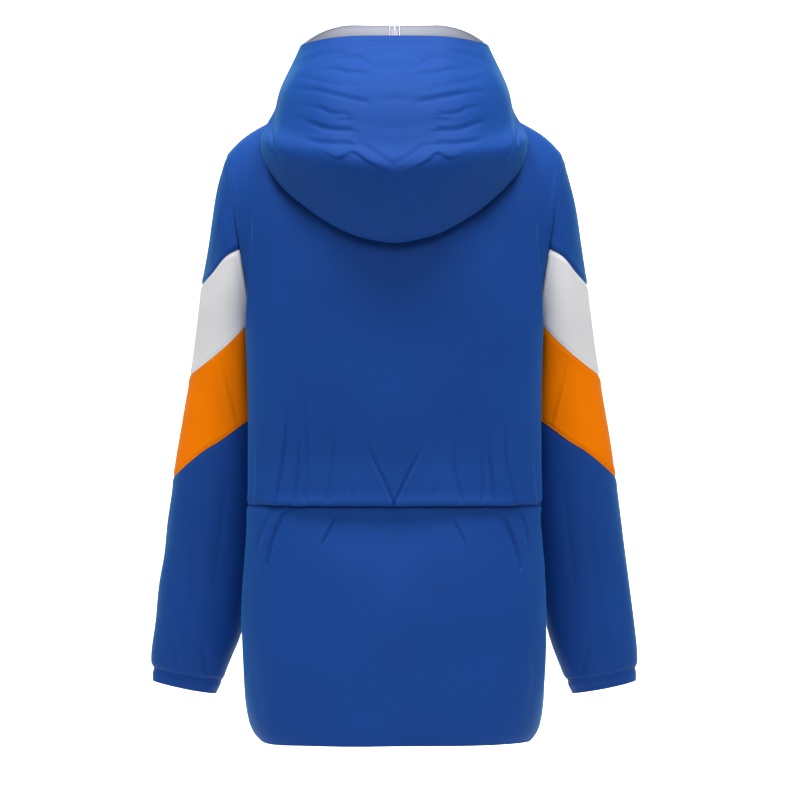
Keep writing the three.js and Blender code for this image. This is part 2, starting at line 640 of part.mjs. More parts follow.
function liningPanel() {
  const turns = steps(40).map((s) => Math.min(LINING_END, Math.max(-LINING_END, mix(-1, 1, s))));
  const surface = (turn, rise) => hoodPoint(Math.sign(turn) || 1, Math.abs(turn), rise);
  const rises = HOOD_RISES.slice(1, -1);
  rises.push(mix(HOOD_RISES[HOOD_RISES.length - 2], 1, LINING_TOP));
  const grid = rises.map((rise) => {
    const inset = mix(LINING_IN.neck, LINING_IN.bag, smooth(0.34, 0.5, rise));
    return turns.map((turn) => {
      const outward = normalOf(surface, turn, rise);
      return vector(surface(turn, rise)).addScaledVector(outward, -inset).toArray();
    });
  });
  return new Panel("hood_lining", LILAC_GREY, grid, { thick: 1 });
}

const panels = [...bodyPanels(), ...sleevePanels(1), ...sleevePanels(-1)];
const hood = hoodPanels();
const lining = [liningPanel()];
for (const group of [panels, hood, lining]) {
  const shared = normalsOf(group);
  for (const panel of group) {
    const own = normalsOf([panel]);
    const normals = new Map();
    for (const [key, n] of own) normals.set(key, n.dot(shared.get(key)) > MITRE ? shared.get(key) : n);
    addMesh(panel.name, wallOf(panel, normals), panel.colour);
  }
}

// The zip's strip: a profile of [x, outwards] points carried up the centre front
const line = zipLine().map(([y, z]) => new THREE.Vector2(y, z));
const slope = new THREE.Vector2(RIM.front, RIM.frontZ).sub(line[line.length - 1]).normalize();
const atHeight = (z) => {
  const from = line[line.length - 1];
  return from.clone().addScaledVector(slope, (z - from.y) / slope.y);
};
const chainEnd = atHeight(ZIP_END.chainZ);
line.push(atHeight(ZIP_END.tapeZ));
const tilt = Math.atan2(-slope.x, slope.y);
const profile = [
  [-ZIP.half, 0],
  [-ZIP.chainHalf, 0],
  [-ZIP.chainHalf, ZIP.chainRise],
  [ZIP.chainHalf, ZIP.chainRise],
  [ZIP.chainHalf, 0],
  [ZIP.half, 0],
  [ZIP.half, -ZIP.thick],
  [-ZIP.half, -ZIP.thick],
];

function stripAlong(points) {
  const position = [];
  const index = [];
  const count = profile.length;
  points.forEach((p, i) => {
    const before = points[Math.max(0, i - 1)];
    const after = points[Math.min(points.length - 1, i + 1)];
    const along = after.clone().sub(before).normalize();
    for (const [x, out] of profile) position.push(x, p.x - along.y * out, p.y + along.x * out);
  });
  for (let i = 0; i < points.length - 1; i += 1) {
    for (let j = 0; j < count; j += 1) {
      const [a, b] = [i * count + j, i * count + ((j + 1) % count)];
      index.push(a, b, b + count, a, b + count, a + count);
    }
  }
  const last = (points.length - 1) * count;
  const caps = THREE.ShapeUtils.triangulateShape(profile.map((p) => new THREE.Vector2(...p)), []);
  for (const [a, b, c] of caps) {
    index.push(a, b, c, last + a, last + c, last + b);
  }
  const geometry = new THREE.BufferGeometry();
  geometry.setAttribute("position", new THREE.Float32BufferAttribute(position, 3));
  geometry.setIndex(index);
  geometry.computeVertexNormals();
  return geometry;
}

// The slider closes round the chain's top end: its profiles are drawn as [outwards, upwards] from that end
const { Manifold, Mesh } = await loadManifold().then((library) => {
  library.setup();
  return library;
});

function solidOf(geometry) {
  const mesh = new Mesh({
    numProp: 3,
    vertProperties: geometry.getAttribute("position").array,
    triVerts: geometry.getIndex().array,
  });
  mesh.merge();
  return new Manifold(mesh);
}

// A [outwards, upwards] outline made as wide as asked, across the zip
function across(outline, from, to, hole) {
  const shape = new THREE.Shape(outline.map(([out, up]) => new THREE.Vector2(out, up)));
  if (hole) shape.holes.push(hole);
  const made = new THREE.ExtrudeGeometry(shape, { depth: to - from, bevelEnabled: false, curveSegments: 14 });
  const flat = made.getAttribute("position");
  const turned = new Float32Array(flat.count * 3);
  for (let i = 0; i < flat.count; i += 1) {
    turned.set([-(from + flat.getZ(i)), -flat.getX(i), flat.getY(i)], 3 * i);
  }
  const geometry = new THREE.BufferGeometry();
  geometry.setAttribute("position", new THREE.BufferAttribute(turned, 3));
  geometry.setIndex([...turned.keys()].filter((i) => i < flat.count));
  return geometry;
}

function geometryOf(solid) {
  const mesh = solid.getMesh();
  const geometry = new THREE.BufferGeometry();
  geometry.setAttribute("position", new THREE.BufferAttribute(mesh.vertProperties, 3));
  geometry.setIndex(new THREE.BufferAttribute(mesh.triVerts, 1));
  geometry.computeVertexNormals();
  return geometry;
}

const round = (out, up, radius, from, to, count) =>
  steps(count).map((s) => [
    out + radius * Math.cos(mix(from, to, s)),
    up + radius * Math.sin(mix(from, to, s)),
  ]);
const face = ZIP.chainRise + SLIDER.clear;
const back = -ZIP.thick - SLIDER.clear;
const pinOut = face + SLIDER.outer + PIN.out;
const box = (outFrom, outTo, upFrom, upTo) => [
  [outFrom, upFrom],
  [outTo, upFrom],
  [outTo, upTo],
  [outFrom, upTo],
];
const outerPlate = box(face, face + SLIDER.outer, -SLIDER.height, SLIDER.neck);
const innerPlate = box(back - SLIDER.inner, back, -SLIDER.height, SLIDER.neck);
const neckBlock = box(back - 0.5, face + 0.5, SLIDER.clear, SLIDER.neck);
const ear = [
  [face + SLIDER.outer - 0.5, 2.2 - PIN.down],
  [face + SLIDER.outer - 0.5, -3.2 - PIN.down],
  ...round(pinOut, -PIN.down, 1.7, -Math.PI / 2, Math.PI / 2, 8),
];
const pin = round(pinOut, -PIN.down, PIN.radius, 0, 2 * Math.PI, 14).slice(0, -1);
const bored = new THREE.Path().absarc(pinOut, -PIN.down, PULL.bore, 0, 2 * Math.PI, true);
const tab = [
  ...round(pinOut, -PIN.down, PULL.radius, -0.4, Math.PI + 0.4, 12),
  [pinOut - PULL.thick / 2, -PIN.down - PULL.length],
  [pinOut + PULL.thick / 2, -PIN.down - PULL.length],
];
const slider = [
  across(outerPlate, -SLIDER.half, SLIDER.half),
  across(innerPlate, -SLIDER.half, SLIDER.half),
  across(neckBlock, -SLIDER.neckHalf, SLIDER.neckHalf),
  across(ear, EAR.half - EAR.thick, EAR.half),
  across(ear, -EAR.half, EAR.thick - EAR.half),
  across(pin, -EAR.half + 0.1, EAR.half - 0.1),
]
  .map(solidOf)
  .reduce((sum, solid) => sum.add(solid));
const sliderMesh = addMesh("zip_slider", geometryOf(slider), PAINTED_METAL, 0.3, 0.4);
sliderMesh.position.set(0, chainEnd.x, chainEnd.y);
sliderMesh.rotation.x = tilt;
sliderMesh.updateMatrix();
// Above the slider the two tapes run on to the rim with a slot between them, and have no chain. The slot
// is wide enough for the slider's neck, and narrow from there up.
const strip = [
  across(box(-5, 5, 0, SLIDER.neck + SLIDER.clear), -ZIP.slotHalf, ZIP.slotHalf),
  across(box(-5, 5, SLIDER.neck, 20), -ZIP.apart, ZIP.apart),
  across(box(0, 5, 0, 20), -ZIP.half - 1, ZIP.half + 1),
]
  .map((geometry) => solidOf(geometry.applyMatrix4(sliderMesh.matrix)))
  .reduce((left, cut) => left.subtract(cut), solidOf(stripAlong(line)));
addMesh("zip", geometryOf(strip), LILAC_GREY, 0, 0.5);
// The pull hangs straight down from the pin
const pull = across(tab, -PULL.half, PULL.half, bored);
pull.translate(0, pinOut, PIN.down);
const pullMesh = addMesh("zip_pull", geometryOf(solidOf(pull)), PAINTED_METAL, 0.3, 0.4);
pullMesh.position.set(0, -pinOut, -PIN.down).applyMatrix4(sliderMesh.matrix);
export const PIN_AT = pullMesh.position.toArray();

export default jacket;
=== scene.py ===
# %% [markdown]
# # A hooded windbreaker, seen from behind
# The jacket is filled out as if somebody wore it. Its panels are thin nylon, sewn edge to edge. This
# lesson builds every panel again as a fine sheet on the form of the plain model, gives it creases,
# seams and a zip, and lights it for a product picture.

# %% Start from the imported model
import math

import bpy
import numpy as np
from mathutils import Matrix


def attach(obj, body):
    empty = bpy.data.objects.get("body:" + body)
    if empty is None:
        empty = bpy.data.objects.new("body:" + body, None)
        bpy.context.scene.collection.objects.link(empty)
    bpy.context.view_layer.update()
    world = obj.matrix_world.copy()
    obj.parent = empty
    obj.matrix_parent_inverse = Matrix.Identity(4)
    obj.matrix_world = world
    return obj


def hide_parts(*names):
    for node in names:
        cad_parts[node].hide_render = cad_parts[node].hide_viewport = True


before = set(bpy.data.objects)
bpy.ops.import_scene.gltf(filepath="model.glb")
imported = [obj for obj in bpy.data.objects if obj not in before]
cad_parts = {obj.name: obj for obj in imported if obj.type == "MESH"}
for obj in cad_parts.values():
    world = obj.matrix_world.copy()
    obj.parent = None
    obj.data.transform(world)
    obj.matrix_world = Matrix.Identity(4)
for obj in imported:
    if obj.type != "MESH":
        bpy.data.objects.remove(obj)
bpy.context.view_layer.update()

# %% [markdown]
# ## Camera
# The hem is level, but its picture bends, which tells how near the camera stood. It looks at the back,
# straight along the garment's depth, from 4.6 m away. Creases are read off the picture, so this cell
# also says where a point of the garment lands in it, in pixels of an 800 pixel frame.

# %% The camera and its picture plane
CAMERA_AT = np.array([-6.6, 4600.0, -333.6])  # millimetres
MM_PER_PIXEL = 1.2
camera_data = bpy.data.cameras.new("camera")
camera_data.sensor_width = 36
camera_data.lens = 36 * CAMERA_AT[1] / (800 * MM_PER_PIXEL)
camera_data.clip_end = 100
camera = bpy.data.objects.new("camera", camera_data)
camera.location = CAMERA_AT / 1000
camera.rotation_euler = (math.radians(90), 0, math.radians(180))
bpy.context.scene.collection.objects.link(camera)
bpy.context.scene.camera = camera


def in_picture(points):
    """Pixels across and down for points in millimetres."""
    scale = CAMERA_AT[1] / (CAMERA_AT[1] - points[..., 1]) / MM_PER_PIXEL
    across = 400 - (points[..., 0] - CAMERA_AT[0]) * scale
    down = 400 - (points[..., 2] - CAMERA_AT[2]) * scale
    return across, down


print("lens", round(camera_data.lens, 1), "mm")

# %% [markdown]
# ## The form
# A pattern cutter thinks in sections: how wide and deep the body is at each height, how the neckline
# and the shoulder run, how thick the arm is at each ring. The same short tables as in the plain model
# say it here, and smooth curves run through their rows.

# %% Sizes of the body
UNDERARM_Z, WAIST_Z, HEM_Z = -255.0, -457.0, -739.0
SIDE_SEAM_Y, ZIP_HALF, BLOUSE = -8.0, 6.0, 4.0
BODY_COLUMNS = ("z", "half", "back", "front", "tuck")
BODY = np.array([
    (-739, 163, 122, -124, 0),
    (-731, 170, 124, -126, 0),
    (-717, 175.5, 126, -128, 0),
    (-690, 181, 128, -130, 2),
    (-650, 185, 130, -131, 6),
    (-600, 187, 130, -131, 13),
    (-530, 186, 126, -128, 24),
    (-457, 183, 119, -122, 29),
    (-390, 182, 123, -126, 30),
    (-330, 182, 127, -129, 29),
    (-290, 183, 128, -129, 25),
    (-255, 184, 128, -129, 17),
], float)
SQUARE = {"back": 2.9, "front": 2.4}
NECK_BACK, NECK_FRONT, NECK_SIDE = (68.0, 15.0), (-72.0, -60.0), (80.0, 5.0, 35.0)
SHOULDER, SHOULDER_SLOPE = (202.5, -5.0, -43.0), 0.515
ARMHOLE_DEPTH = 62.0
NECK_SHARE = 0.42


def smooth(low, high, value):
    """A soft step from 0 at low to 1 at high."""
    share = np.clip((value - low) / (high - low), 0, 1)
    return share * share * (3 - 2 * share)


def mix(a, b, share):
    """The value a share of the way from a to b."""
    return a + (b - a) * share


def through(rows, at):
    """Values at fractional rows, on a smooth curve through the rows."""
    rows = np.concatenate([[2 * rows[0] - rows[1]], rows, [2 * rows[-1] - rows[-2]]])
    at = np.asarray(at, float)
    i = np.clip(np.floor(at).astype(int), 0, len(rows) - 4)
    t = (at - i).reshape(at.shape + (1,) * (rows.ndim - 1))
    a, b, c, d = rows[i], rows[i + 1], rows[i + 2], rows[i + 3]
    square, cube = t * t, t * t * t
    bends = (2 * a - 5 * b + 4 * c - d) * square + (3 * b - a - 3 * c + d) * cube
    return 0.5 * (2 * b + (c - a) * t + bends)


fine_rows = np.linspace(0, len(BODY) - 1, 2001)
fine_heights = through(BODY[:, 0], fine_rows)


def body_sizes(z):
    """Half width, depths and tuck of the body at heights."""
    row = np.interp(z, fine_heights, fine_rows)
    values = through(BODY[:, 1:], row)
    return {name: values[..., k] for k, name in enumerate(BODY_COLUMNS[1:])}


print("body rows", len(BODY), "from", HEM_Z, "to", UNDERARM_Z, "mm")

# %% One section of the body
def along(points, shares):
    """Points at shares of a line's length."""
    lengths = np.concatenate([[0], np.cumsum(np.linalg.norm(np.diff(points, axis=0), axis=1))])
    return np.stack([np.interp(shares * lengths[-1], lengths, points[:, k]) for k in range(points.shape[1])], -1)


def section(z, side, shares):
    """Half of the section at one height, from the centre line to the side seam."""
    size = body_sizes(z)
    half, behind, ahead, tuck = (float(size[key]) for key in ("half", "back", "front", "tuck"))
    seam = math.pi / 2 + math.asin((-SIDE_SEAM_Y / -ahead) ** (SQUARE["front"] / 2))
    start = 0 if side == "back" else math.pi - math.asin((ZIP_HALF / half) ** (SQUARE["front"] / 2))
    angle = mix(start, seam, np.linspace(0, 1, 500) ** 1.5)
    back = np.cos(angle) >= 0
    bend = np.where(back, 2 / SQUARE["back"], 2 / SQUARE["front"])
    x = half * np.abs(np.sin(angle)) ** bend
    y = np.where(back, behind, ahead) * np.abs(np.cos(angle)) ** bend
    x = x - tuck * smooth(62, 24, y) * smooth(-124, -84, y)
    return along(np.stack([x, y], -1), shares)


def neckline(turn):
    """The neckline, from centre back (0) over the side (0.5) to the front zip (1)."""
    turn = np.asarray(turn, float)
    back = turn <= 0.5
    start = np.where(back, 0, math.asin(ZIP_HALF / NECK_SIDE[0]))
    swing = mix(start, math.pi / 2, np.where(back, turn, 1 - turn) * 2)
    drop = np.where(back, 1 - np.cos(swing), 1 - np.abs(np.cos(swing)) ** 1.3)
    y = mix(NECK_SIDE[1], np.where(back, NECK_BACK[0], NECK_FRONT[0]), np.cos(swing))
    z = mix(np.where(back, NECK_BACK[1], NECK_FRONT[1]), NECK_SIDE[2], drop)
    return np.stack([NECK_SIDE[0] * np.sin(swing), y, z], -1)


def top_edge(side, share):
    """The top edge of a body panel: half the neckline, then the shoulder seam."""
    turn = np.minimum(share / NECK_SHARE, 1) / 2
    neck = neckline(turn if side == "back" else 1 - turn)
    out = np.clip((share - NECK_SHARE) / (1 - NECK_SHARE), 0, 1)
    x = mix(NECK_SIDE[0], SHOULDER[0], out)
    drop = SHOULDER_SLOPE * (x - NECK_SIDE[0]) + 14.9 * np.maximum(0, (x - 150) / 52.5) ** 3.5
    seam = np.stack([x, mix(NECK_SIDE[1], SHOULDER[1], out), NECK_SIDE[2] - drop], -1)
    return np.where((share > NECK_SHARE)[..., None], seam, neck)


def chest(side, share, fall):
    """The body above the underarm: share runs out to the armhole, fall down from the top edge."""
    ahead = 1 if side == "back" else -1
    top = top_edge(side, share)
    foot = np.concatenate([section(UNDERARM_Z, side, share), np.full(share.shape + (1,), UNDERARM_Z)], -1)
    centre = (40, -45) if side == "back" else (-20, -40)
    reach = ARMHOLE_DEPTH * 4 / 3
    to_side, lean = smooth(0, NECK_SHARE, share), smooth(0.55, 1, share)
    over = mix(86, reach, smooth(NECK_SHARE, 1, share))
    first, second = top.copy(), foot.copy()
    first[..., 1] += mix(centre[0], ahead * over, to_side)
    first[..., 2] += mix(centre[1], 0, to_side)
    second[..., 1] += ahead * reach * lean
    second[..., 2] += 95 * (1 - lean)
    t = np.asarray(fall)[..., None, None]
    return (1 - t) ** 3 * top + 3 * t * (1 - t) ** 2 * first + 3 * t**2 * (1 - t) * second + t**3 * foot


print("hem quarter", section(HEM_Z, "back", np.array([0.0, 0.5, 1.0])).round(1).tolist())

# %% [markdown]
# ## Sleeves
# A sleeve is a tube of rings. Its first ring is the armhole itself, and the others lean with the arm.
# The white and orange stripes are chevrons: their edges climb from a point on the outer line to the
# inner line, before and behind the arm.

# %% Rings of the sleeve
SLEEVE = np.array([
    # outer x, outer z, inner x, inner z, middle y, half depth
    (202.5, -43, 167, -255, -5, 62),
    (215.5, -94, 169, -262, -8, 64),
    (224.5, -150, 169, -276, -13, 65),
    (233.5, -205, 167, -300, -20, 65),
    (241, -262, 164, -334, -28, 64),
    (250, -320, 162, -374, -36, 63),
    (260, -375, 162, -416, -43, 62),
    (269, -432, 165, -462, -50, 60),
    (277, -490, 169, -512, -56, 57),
    (285, -548, 176, -566, -62, 53),
    (292, -605, 187, -618, -67, 49),
    (296, -645, 201, -656, -71, 43),
    (294, -660, 210, -675, -73, 39),
    (295, -675, 217, -691, -75, 37),
], float)
CUFF_ROW = 12
STRIPES = {
    # upper edge: height on the outer line, then its climb at each sixth of the way to the inner line
    "white": (-196, np.array([0, 14, 30.5, 40, 47, 55, 68])),
    "orange": (-304, np.array([0, 11.3, 22.7, 34, 45.3, 56.7, 68])),
    "lower": (-427, np.array([0, 17.5, 32.5, 43.5, 56, 67, 74])),
}


def sleeve(turn, row):
    """Points of the wearer's left sleeve; turn is 0 on the outer line and rises behind the arm."""
    turn, row = np.broadcast_arrays(np.asarray(turn, float) % 1, np.asarray(row, float))
    back = turn <= 0.5
    t = np.where(back, 2 * turn, 2 * (1 - turn))
    across = t * t * (3 - 2 * t)
    bulge = 4 * t * (1 - t) * np.where(back, 1, -1)

    def ring(at):
        size = through(SLEEVE, at)
        return np.stack([
            mix(size[..., 0], size[..., 2], across),
            size[..., 4] + bulge * size[..., 5],
            mix(size[..., 1], size[..., 3], across),
        ], -1)

    reach = ARMHOLE_DEPTH * 4 / 3 * np.where(back, 1, -1)
    foot = section(UNDERARM_Z, "back", np.array([1.0]))[0]
    a, b, c, d = (1 - t) ** 3, 3 * t * (1 - t) ** 2, 3 * t**2 * (1 - t), t**3
    edge = np.stack([
        (a + b) * SHOULDER[0] + (c + d) * foot[0],
        a * SHOULDER[1] + b * (SHOULDER[1] + reach) + c * (foot[1] + reach) + d * foot[1],
        (a + b) * SHOULDER[2] + (c + d) * UNDERARM_Z,
    ], -1)
    near = np.maximum(0, 1 - row)[..., None] ** 2
    return ring(row) + near * (edge - ring(np.zeros_like(row)))


def stripe_row(turn, name):
    """The row at which a stripe's edge crosses each line of the sleeve, or 0 above the armhole."""
    turn = np.asarray(turn, float) % 1
    t = np.where(turn <= 0.5, 2 * turn, 2 * (1 - turn))
    outer_z, climb = STRIPES[name]
    target = outer_z + through(climb, (len(climb) - 1) * t * t * (3 - 2 * t))
    low, high = np.zeros_like(turn), np.full_like(turn, len(SLEEVE) - 1)
    for _ in range(30):
        middle = (low + high) / 2
        above = sleeve(turn, middle)[..., 2] > target
        low, high = np.where(above, middle, low), np.where(above, high, middle)
    return np.where(sleeve(turn, low * 0)[..., 2] < target, 0, high)


print("white edge meets the outer line at row", stripe_row(np.array([0.0]), "white").round(2))

# %% [markdown]
# ## Hood
# The hood lies back. From the neckline its cloth runs down behind the shoulders, turns up at the
# bottom of a slack bag, turns over a soft ridge and climbs to the rim, so one tall sheet makes a pouch
# behind the neck and a funnel round it.

# %% Levels of the hood
HOOD_LEVELS = ("turn", "under", "bottom", "ridge", "shelf", "upper")
HOOD = np.array([
    [(0, 85, 5), (0, 122, -92), (0, 136, -150), (0, 184, -76), (0, 171, -34), (0, 142, 28)],
    [(35, 84, 9), (54, 124, -84), (66, 132, -133), (74, 170, -62), (71, 156, -24), (66, 128, 34)],
    [(66, 69, 21), (105, 98, -52), (126, 98, -88), (138, 117, -43), (127, 105, -13), (117, 84, 38)],
    [(86, 36, 33), (133, 53, -12), (152, 60, -39), (157, 60, -21), (143, 50, -1), (134, 34, 38)],
    [(93, 5, 38), (121, 6, 27), (129, 8, 15), (135, 6, 18), (137, 2, 30), (131, -4, 50)],
    [(80, -26, 34), (103, -31, 28), (114, -33, 20), (119, -36, 26), (122, -39, 37), (119, -44, 60)],
    [(66, -58, -7), (80, -64, -6), (92, -70, -12), (97, -74, 4), (99, -77, 28), (97, -81, 72)],
    [(37, -74, -40), (41, -80, -38), (45, -86, -28), (49, -92, -6), (52, -98, 28), (53, -103, 78)],
    [(6, -76, -47), (6, -79, -38), (6, -84, -24), (6, -91, 0), (6, -99, 32), (6, -108, 80)],
], float)
RIM_HALF, RIM_BACK, RIM_FRONT = 113.0, 84.0, -114.0
RIM_BACK_Z, RIM_SIDE_Z, RIM_FRONT_Z = 96.0, 91.0, 126.5
HOOD_LIFT, HOOD_STAND = 0.6, 7.0


def hood(turn, rise):
    """Points of the hood: turn from -1 to 1 through centre back at 0, rise from neckline to rim."""
    turn, rise = np.broadcast_arrays(np.asarray(turn, float), np.asarray(rise, float))
    hand, half = np.where(turn < 0, -1, 1), np.abs(turn)
    mirror = HOOD * (-1, 1, 1)
    rows = np.concatenate([mirror[1:][::-1], HOOD])
    table = through(rows, half * 8 + 8)
    neck = neckline(half)
    swing = half * math.pi
    x = np.maximum(ZIP_HALF, RIM_HALF * np.abs(np.sin(swing)) ** 0.85)
    y = np.where(np.cos(swing) > 0, RIM_BACK, RIM_FRONT) * np.abs(np.cos(swing)) ** 0.85
    x = np.where(half < 0.3, RIM_HALF * np.abs(np.sin(swing)) ** 0.85, x)
    dip = mix(RIM_BACK_Z, RIM_SIDE_Z, smooth(0.1, 0.4, half))
    rim = np.stack([x, y, mix(dip, RIM_FRONT_Z, smooth(0.46, 0.88, half))], -1)
    levels = [
        neck + (0, 0, HOOD_LIFT),
        neck * (1.01, 1.01, 1) + (0, 0, HOOD_STAND),
        *(table[..., k, :] for k in range(len(HOOD_LEVELS))),
        rim,
    ]
    levels = np.stack([levels[0], *levels, levels[-1]])
    at = rise * (len(HOOD_LEVELS) + 2)
    i = np.clip(np.floor(at).astype(int), 0, len(HOOD_LEVELS) + 1)
    t = (at - i)[..., None]
    pick = [np.take_along_axis(levels, (i + k)[None, ..., None], 0)[0] for k in range(4)]
    a, b, c, d = pick
    bends = (2 * a - 5 * b + 4 * c - d) * t**2 + (3 * b - a - 3 * c + d) * t**3
    points = 0.5 * (2 * b + (c - a) * t + bends)
    points[..., 0] *= hand
    return points


print("hood rim behind at", hood(0.0, 1.0).round(1).tolist())

# %% [markdown]
# ## Creases
# Nylon creases in long soft folds that start at a seam and fade out. A simulation would put them
# somewhere else on every run, so each is placed on the picture: a bent line with a width, a
# depth and a lip, the small rise that stands beside a trough where the cloth turns over.

# %% Creases as short tables, in picture pixels
# points across and down, width in pixels, depth of the trough in mm, step beside it in mm, side of the step
BACK_CREASES = [
    ([(283, 392), (286, 424), (282, 464), (275, 503)], 1.5, 2.4, 1.6, -1),
    ([(287, 337), (296, 354), (302, 384), (306, 419), (307, 454), (306, 503)], 1.4, 1.5, 1.2, -1),
    ([(300, 428), (299, 464), (294, 503)], 1.5, 2.2, 1.2, 1),
    ([(332, 409), (334, 454), (327, 503)], 1.3, 1.3, 0.8, 1),
    ([(364, 437), (374, 461), (384, 482), (394, 505)], 1.5, 2.6, 1.4, -1),
    ([(428, 438), (414, 464), (404, 484), (394, 505)], 1.5, 2.6, 1.4, 1),
    ([(453, 438), (454, 469), (463, 503)], 1.4, 2.0, 1.0, -1),
    ([(481, 432), (482, 466), (483, 503)], 1.3, 1.5, 0.8, -1),
    ([(490, 425), (490, 459), (495, 503)], 1.5, 2.4, 1.3, 1),
    ([(505, 410), (505, 454), (515, 503)], 1.5, 2.6, 1.7, -1),
    ([(532, 232), (524, 262), (516, 292), (505, 350), (498, 400)], 1.8, 1.0, 0.9, 1),
    ([(262, 236), (268, 272), (276, 320), (284, 360)], 1.8, 0.7, 0.7, -1),
    ([(253, 440), (254, 474), (252, 503)], 1.8, 1.0, 0.8, 1),
    ([(536, 436), (535, 470), (538, 503)], 1.8, 1.0, 0.8, -1),
    ([(345, 470), (350, 488), (352, 503)], 1.4, 0.8, 0.5, 1),
    ([(438, 474), (434, 490), (432, 503)], 1.4, 0.8, 0.5, -1),
]
SKIRT_CREASES = [
    ([(275, 503), (267, 523), (258, 544)], 2.0, 1.6, 1.2, -1),
    ([(292, 503), (286, 511), (278, 527), (271, 548), (267, 566)], 2.2, 3.4, 2.4, -1),
    ([(340, 509), (331, 526), (322, 544)], 1.4, 2.2, 1.2, -1),
    ([(494, 503), (503, 516), (511, 534), (517, 551), (521, 568)], 2.4, 3.8, 2.8, 1),
    ([(513, 503), (523, 519), (529, 543)], 1.8, 2.0, 1.4, 1),
    ([(448, 509), (456, 525), (465, 543)], 1.4, 1.8, 1.0, 1),
    ([(487, 509), (485, 512), (481, 514)], 1.4, 2.0, 0.6, 1),
    ([(258, 640), (256, 680), (262, 712)], 4.0, 0.8, 0.6, 1),
    ([(532, 640), (534, 680), (529, 712)], 4.0, 0.8, 0.6, -1),
]
SLEEVE_CREASES = [
    ([(217, 352), (221, 367), (224, 380), (229, 400), (235, 423)], 1.7, -1.3, -1.4, 1),
    ([(206, 500), (197, 560), (190, 640)], 5.0, 1.2, 0.8, 1),
    ([(226, 470), (222, 520), (214, 580)], 4.0, 1.2, 0.8, -1),
    ([(166, 616), (174, 640), (180, 668)], 2.6, 1.6, 1.2, 1),
    ([(198, 640), (204, 656), (206, 670)], 2.4, 1.5, 1.0, -1),
    ([(234, 172), (226, 214), (214, 256)], 4.0, 0.8, 0.6, 1),
]
HOOD_CREASES = [
    ([(287, 71), (305, 61), (322, 54), (340, 52)], 3.5, 0.9, 1.1, 1),
    ([(501, 72), (484, 60), (468, 54), (450, 52)], 3.5, 0.9, 1.1, -1),
    ([(322, 61), (342, 58), (356, 57), (368, 62)], 2.4, 1.2, 0.8, 1),
    ([(468, 61), (448, 58), (432, 57), (421, 62)], 2.4, 1.2, 0.8, -1),
    ([(366, 62), (376, 56), (394, 53), (412, 56), (422, 62)], 3.2, 0.5, 0.5, -1),
    ([(318, 70), (336, 69), (349, 72), (366, 73)], 2.3, 1.7, 1.1, 1),
    ([(470, 70), (454, 69), (437, 72), (421, 73)], 2.3, 1.7, 1.1, -1),
    ([(290, 76), (312, 79), (336, 84), (352, 84)], 3.0, 0.7, 0.7, 1),
    ([(497, 74), (474, 79), (452, 84), (436, 87)], 3.0, 0.7, 0.8, -1),
    ([(287, 88), (316, 90), (345, 97), (364, 101)], 2.7, 1.2, 1.0, 1),
    ([(501, 90), (470, 92), (440, 97), (420, 101)], 2.7, 1.2, 1.0, -1),
    ([(300, 104), (320, 108), (331, 113), (346, 114)], 2.6, 1.2, 0.8, 1),
    ([(489, 104), (468, 108), (457, 113), (441, 114)], 2.6, 1.2, 0.8, -1),
    ([(333, 118), (342, 120), (350, 119)], 2.2, 0.8, 0.5, 1),
    ([(456, 118), (447, 120), (439, 119)], 2.2, 0.8, 0.5, -1),
    ([(296, 116), (314, 124), (330, 129), (350, 130)], 3.0, 1.7, 1.4, 1),
    ([(493, 116), (474, 124), (458, 129), (438, 130)], 3.0, 1.7, 1.4, -1),
    ([(302, 136), (314, 141), (330, 143), (350, 144)], 3.0, 1.8, 1.6, 1),
    ([(487, 136), (474, 141), (458, 143), (438, 144)], 3.0, 1.8, 1.6, -1),
    ([(352, 138), (364, 145), (376, 153), (392, 163)], 2.7, 1.0, 1.0, 1),
    ([(441, 141), (424, 146), (408, 156), (396, 163)], 2.7, 1.0, 1.0, -1),
    ([(316, 149), (327, 154), (338, 159), (346, 156), (354, 153), (366, 161), (378, 167)], 1.2, 0.7, 2.4, 1),
    ([(472, 150), (460, 156), (452, 159), (444, 157), (437, 154), (428, 161), (417, 167)], 1.2, 0.7, 2.4, -1),
    ([(276, 122), (273, 133), (273, 146), (278, 158)], 2.2, 3.4, 2.2, 1),
    ([(513, 122), (516, 133), (516, 146), (511, 158)], 2.2, 3.4, 2.2, -1),
    ([(330, 95), (362, 101), (394, 98), (426, 101), (458, 95)], 4.0, 0.8, 0.5, 1),
    ([(300, 66), (345, 64), (394, 67), (444, 64), (488, 66)], 5.0, 0.7, 0.4, 1),
    ([(310, 122), (352, 123), (394, 127), (437, 123), (478, 122)], 6.0, 0.7, 0.3, 1),
]
FRONT_CREASES = [
    ([(300, 404), (298, 440), (292, 475), (286, 503)], 1.8, 2.2, 1.6, 1),
    ([(318, 420), (319, 460), (316, 503)], 1.6, 1.6, 1.0, -1),
    ([(492, 398), (494, 440), (500, 478), (505, 503)], 1.8, 2.2, 1.6, -1),
    ([(470, 432), (469, 468), (472, 503)], 1.6, 1.6, 1.0, 1),
    ([(270, 240), (282, 275), (296, 300)], 2.6, 1.4, 1.2, 1),
    ([(519, 236), (508, 272), (494, 300)], 2.6, 1.4, 1.2, -1),
    ([(375, 458), (381, 480), (384, 503)], 1.8, 1.4, 1.0, 1),
    ([(414, 454), (409, 480), (406, 503)], 1.8, 1.4, 1.0, -1),
    ([(300, 503), (290, 522), (282, 552)], 2.4, 2.6, 1.8, -1),
    ([(490, 503), (499, 520), (508, 556)], 2.4, 2.6, 1.8, 1),
    ([(352, 508), (345, 524), (339, 540)], 1.8, 1.6, 1.0, -1),
    ([(438, 508), (446, 525), (452, 541)], 1.8, 1.6, 1.0, 1),
]
STEP_FADE = 7.0  # pixels over which a step beside a trough runs out


